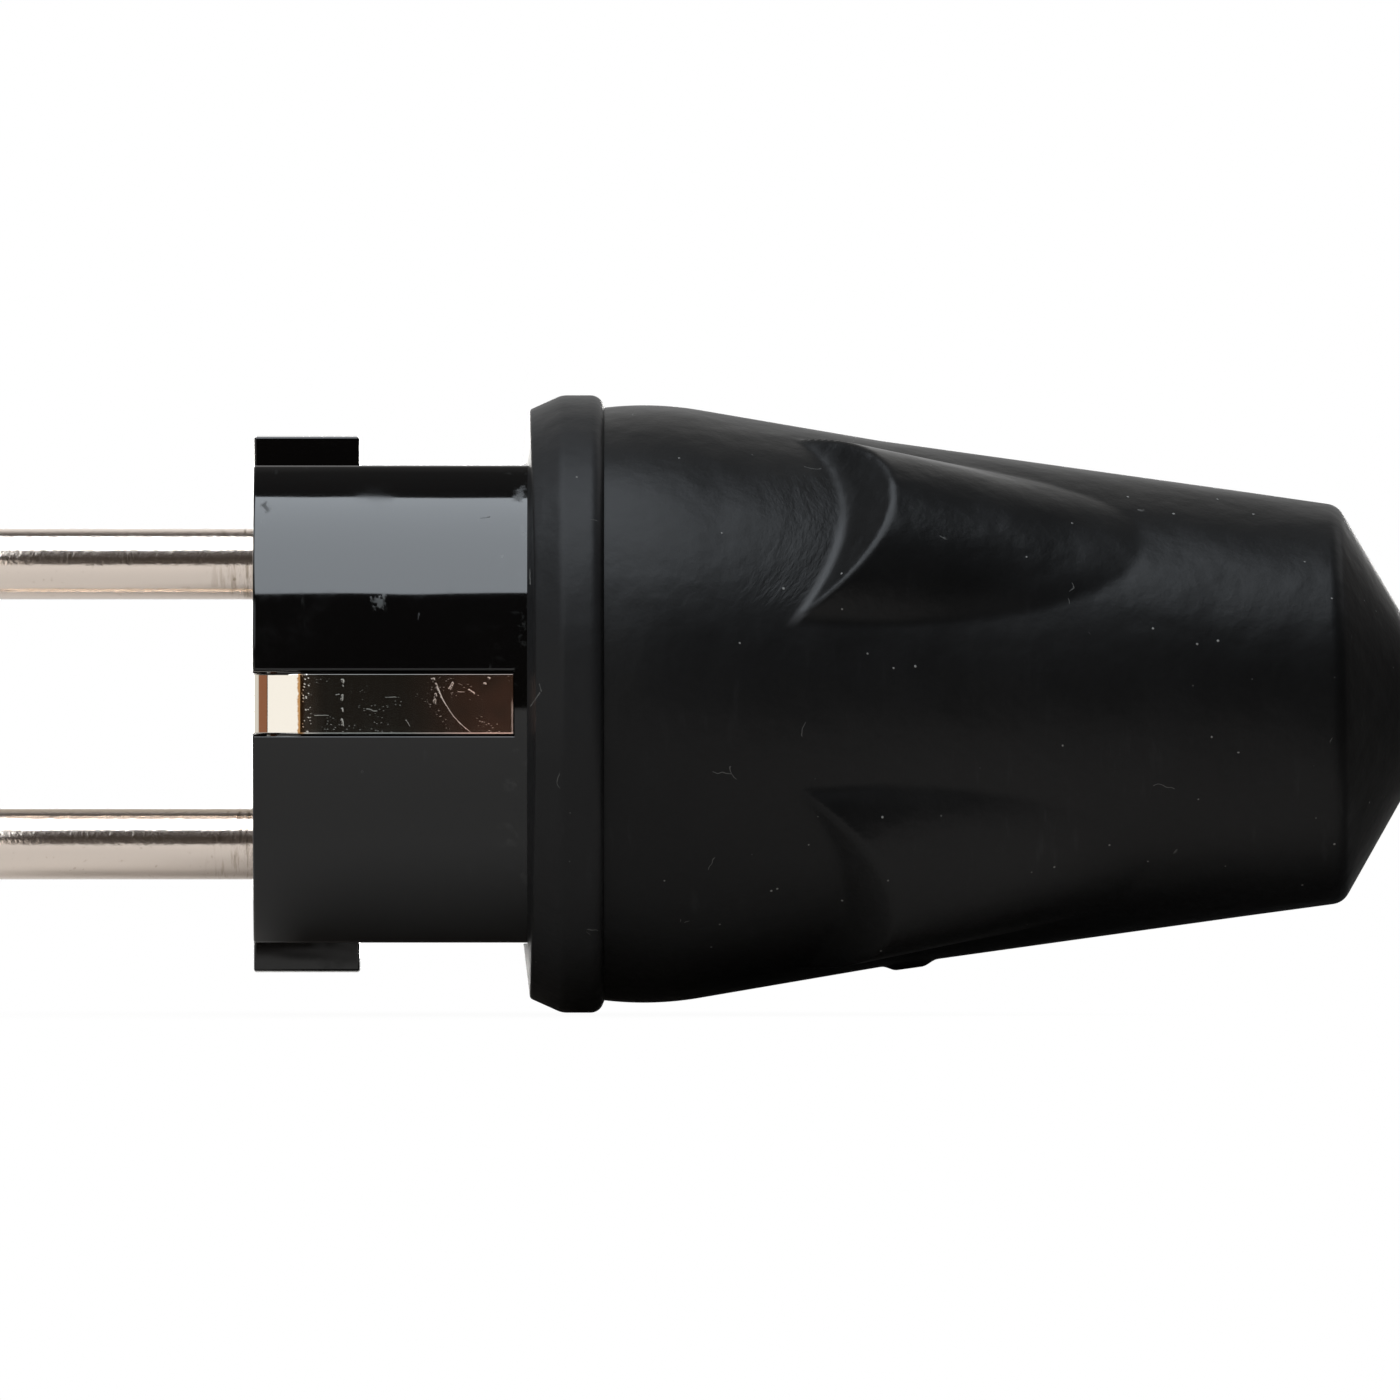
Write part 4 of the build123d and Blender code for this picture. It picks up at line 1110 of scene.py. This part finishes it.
# Light: an oval soft box overhead, turned a little, draws the bright band along the plug. A low panel and a
# dim fill stand at the left, a dim box and a low panel behind. The room is dark on the camera's side and
# white behind the plug, with a warm wall at the left that the bend of the earth strip shows.
UPPER_ROOM = [
    (0.0, (0.035, 0.027, 0.021, 1)),
    (0.5, (0.03, 0.025, 0.02, 1)),
    (0.58, (0.08, 0.075, 0.07, 1)),
    (0.65, (0.1, 0.095, 0.09, 1)),
    (0.7, (0.35, 0.34, 0.33, 1)),
    (0.77, (0.75, 0.74, 0.72, 1)),
    (1.0, (0.9, 0.9, 0.89, 1)),
]
LEFT_ROOM = [
    (0.0, (0.035, 0.027, 0.021, 1)),
    (0.504, (0.03, 0.025, 0.02, 1)),
    (0.514, (0.33, 0.14, 0.075, 1)),
    (0.68, (0.33, 0.14, 0.075, 1)),
    (0.7, (0.85, 0.82, 0.75, 1)),
]
RIGHT_ROOM = [
    (0.0, (0.035, 0.027, 0.021, 1)),
    (0.64, (0.03, 0.028, 0.025, 1)),
    (0.7, (0.16, 0.15, 0.145, 1)),
    (0.87, (0.08, 0.076, 0.072, 1)),
    (0.9, (0.14, 0.135, 0.13, 1)),
    (0.97, WHITE),
]
WARM_WALL_LEVEL = (0.22, 0.1)
LEFT_SIDE = (-0.15, -0.3)
RIGHT_SIDE = (0.25, 0.5)
BEHIND_PLUG = (0.8, 0.95)
PLUG_MIDDLE = (0.03, 0, 0)


def soft_light(name, place, width, height, radiance, colour, aim=PLUG_MIDDLE, roll=0, shape="RECTANGLE"):
    """A flat lamp, in metres, that faces a point; its power follows from how bright its face is."""
    lamp = bpy.data.lights.new(name, "AREA")
    lamp.shape = shape
    lamp.size = width
    lamp.size_y = height
    face_area = width * height * (pi / 4 if shape == "ELLIPSE" else 1)
    lamp.energy = 4 * face_area * radiance
    lamp.color = colour
    made = new_object(name, lamp)
    made.location = place
    facing = (Vector(aim) - Vector(place)).to_track_quat("-Z", "Y")
    made.rotation_euler = (facing @ Quaternion((0, 0, 1), radians(roll))).to_euler()
    made.visible_camera = False


soft_light("overhead_box", place=(-0.09, -0.225, 0.6), width=0.76, height=0.64, radiance=4.65,
           colour=(0.86, 0.93, 1.0), aim=(-0.09, -0.225, 0), roll=-22, shape="ELLIPSE")
soft_light("left_panel", place=(-0.368, -0.336, 0.06), width=0.84, height=0.16, radiance=0.95,
           colour=(1.0, 0.98, 0.93), aim=(0, 0, 0.06))
soft_light("left_fill", place=(-0.239, -0.576, 0.397), width=0.3, height=0.25, radiance=2.1,
           colour=(0.92, 0.96, 1.0))
soft_light("rear_box", place=(0.68, 0.45, 0.61), width=0.6, height=0.45, radiance=0.75,
           colour=(0.97, 0.98, 1.0))
soft_light("rear_panel", place=(0.03, 1.2, 0.02), width=1.0, height=0.15, radiance=12.0,
           colour=(1.0, 0.98, 0.95))
world = bpy.data.worlds.new("studio")
bpy.context.scene.world = world
world.use_nodes = True
way = Value(world.node_tree).node("ShaderNodeTexCoord", None, None, output="Generated")
across, ahead, up = way.parts()
from_camera = (0.0 - ahead).math("ARCCOSINE") / pi
rooms = []
for stops in (UPPER_ROOM, LEFT_ROOM, RIGHT_ROOM):
    rooms.append(from_camera.node("ShaderNodeValToRGB", {"stops": stops}, {"Fac": from_camera}))
level = up.math("ABSOLUTE").rise(*WARM_WALL_LEVEL)
room = (level * across.rise(*LEFT_SIDE)).mix(rooms[0], rooms[1])
room = across.rise(*RIGHT_SIDE).mix(room, rooms[2])
backdrop = backdrop_share(way, from_camera.rise(*BEHIND_PLUG))
way.feed(world.node_tree.nodes["Background"], {"Color": backdrop.mix(room, WHITE)})


# Camera: level with the plug's axis and far away, as a long lens sees it, square on to the side. The view
# is 95 mm wide, and the pins' tips and the cable end lie outside it.
VIEW_CENTRE = (30.23, 0.27)
VIEW_WIDTH = 95.0
VIEW_DISTANCE = 4000.0
eye = bpy.data.cameras.new("camera")
eye.lens = eye.sensor_width * VIEW_DISTANCE / VIEW_WIDTH
camera = new_object("camera", eye)
camera.location = (VIEW_CENTRE[0] * MM, -VIEW_DISTANCE * MM, VIEW_CENTRE[1] * MM)
camera.rotation_euler = (pi / 2, 0, 0)
bpy.context.scene.camera = camera
bpy.context.scene.view_settings.view_transform = "Standard"
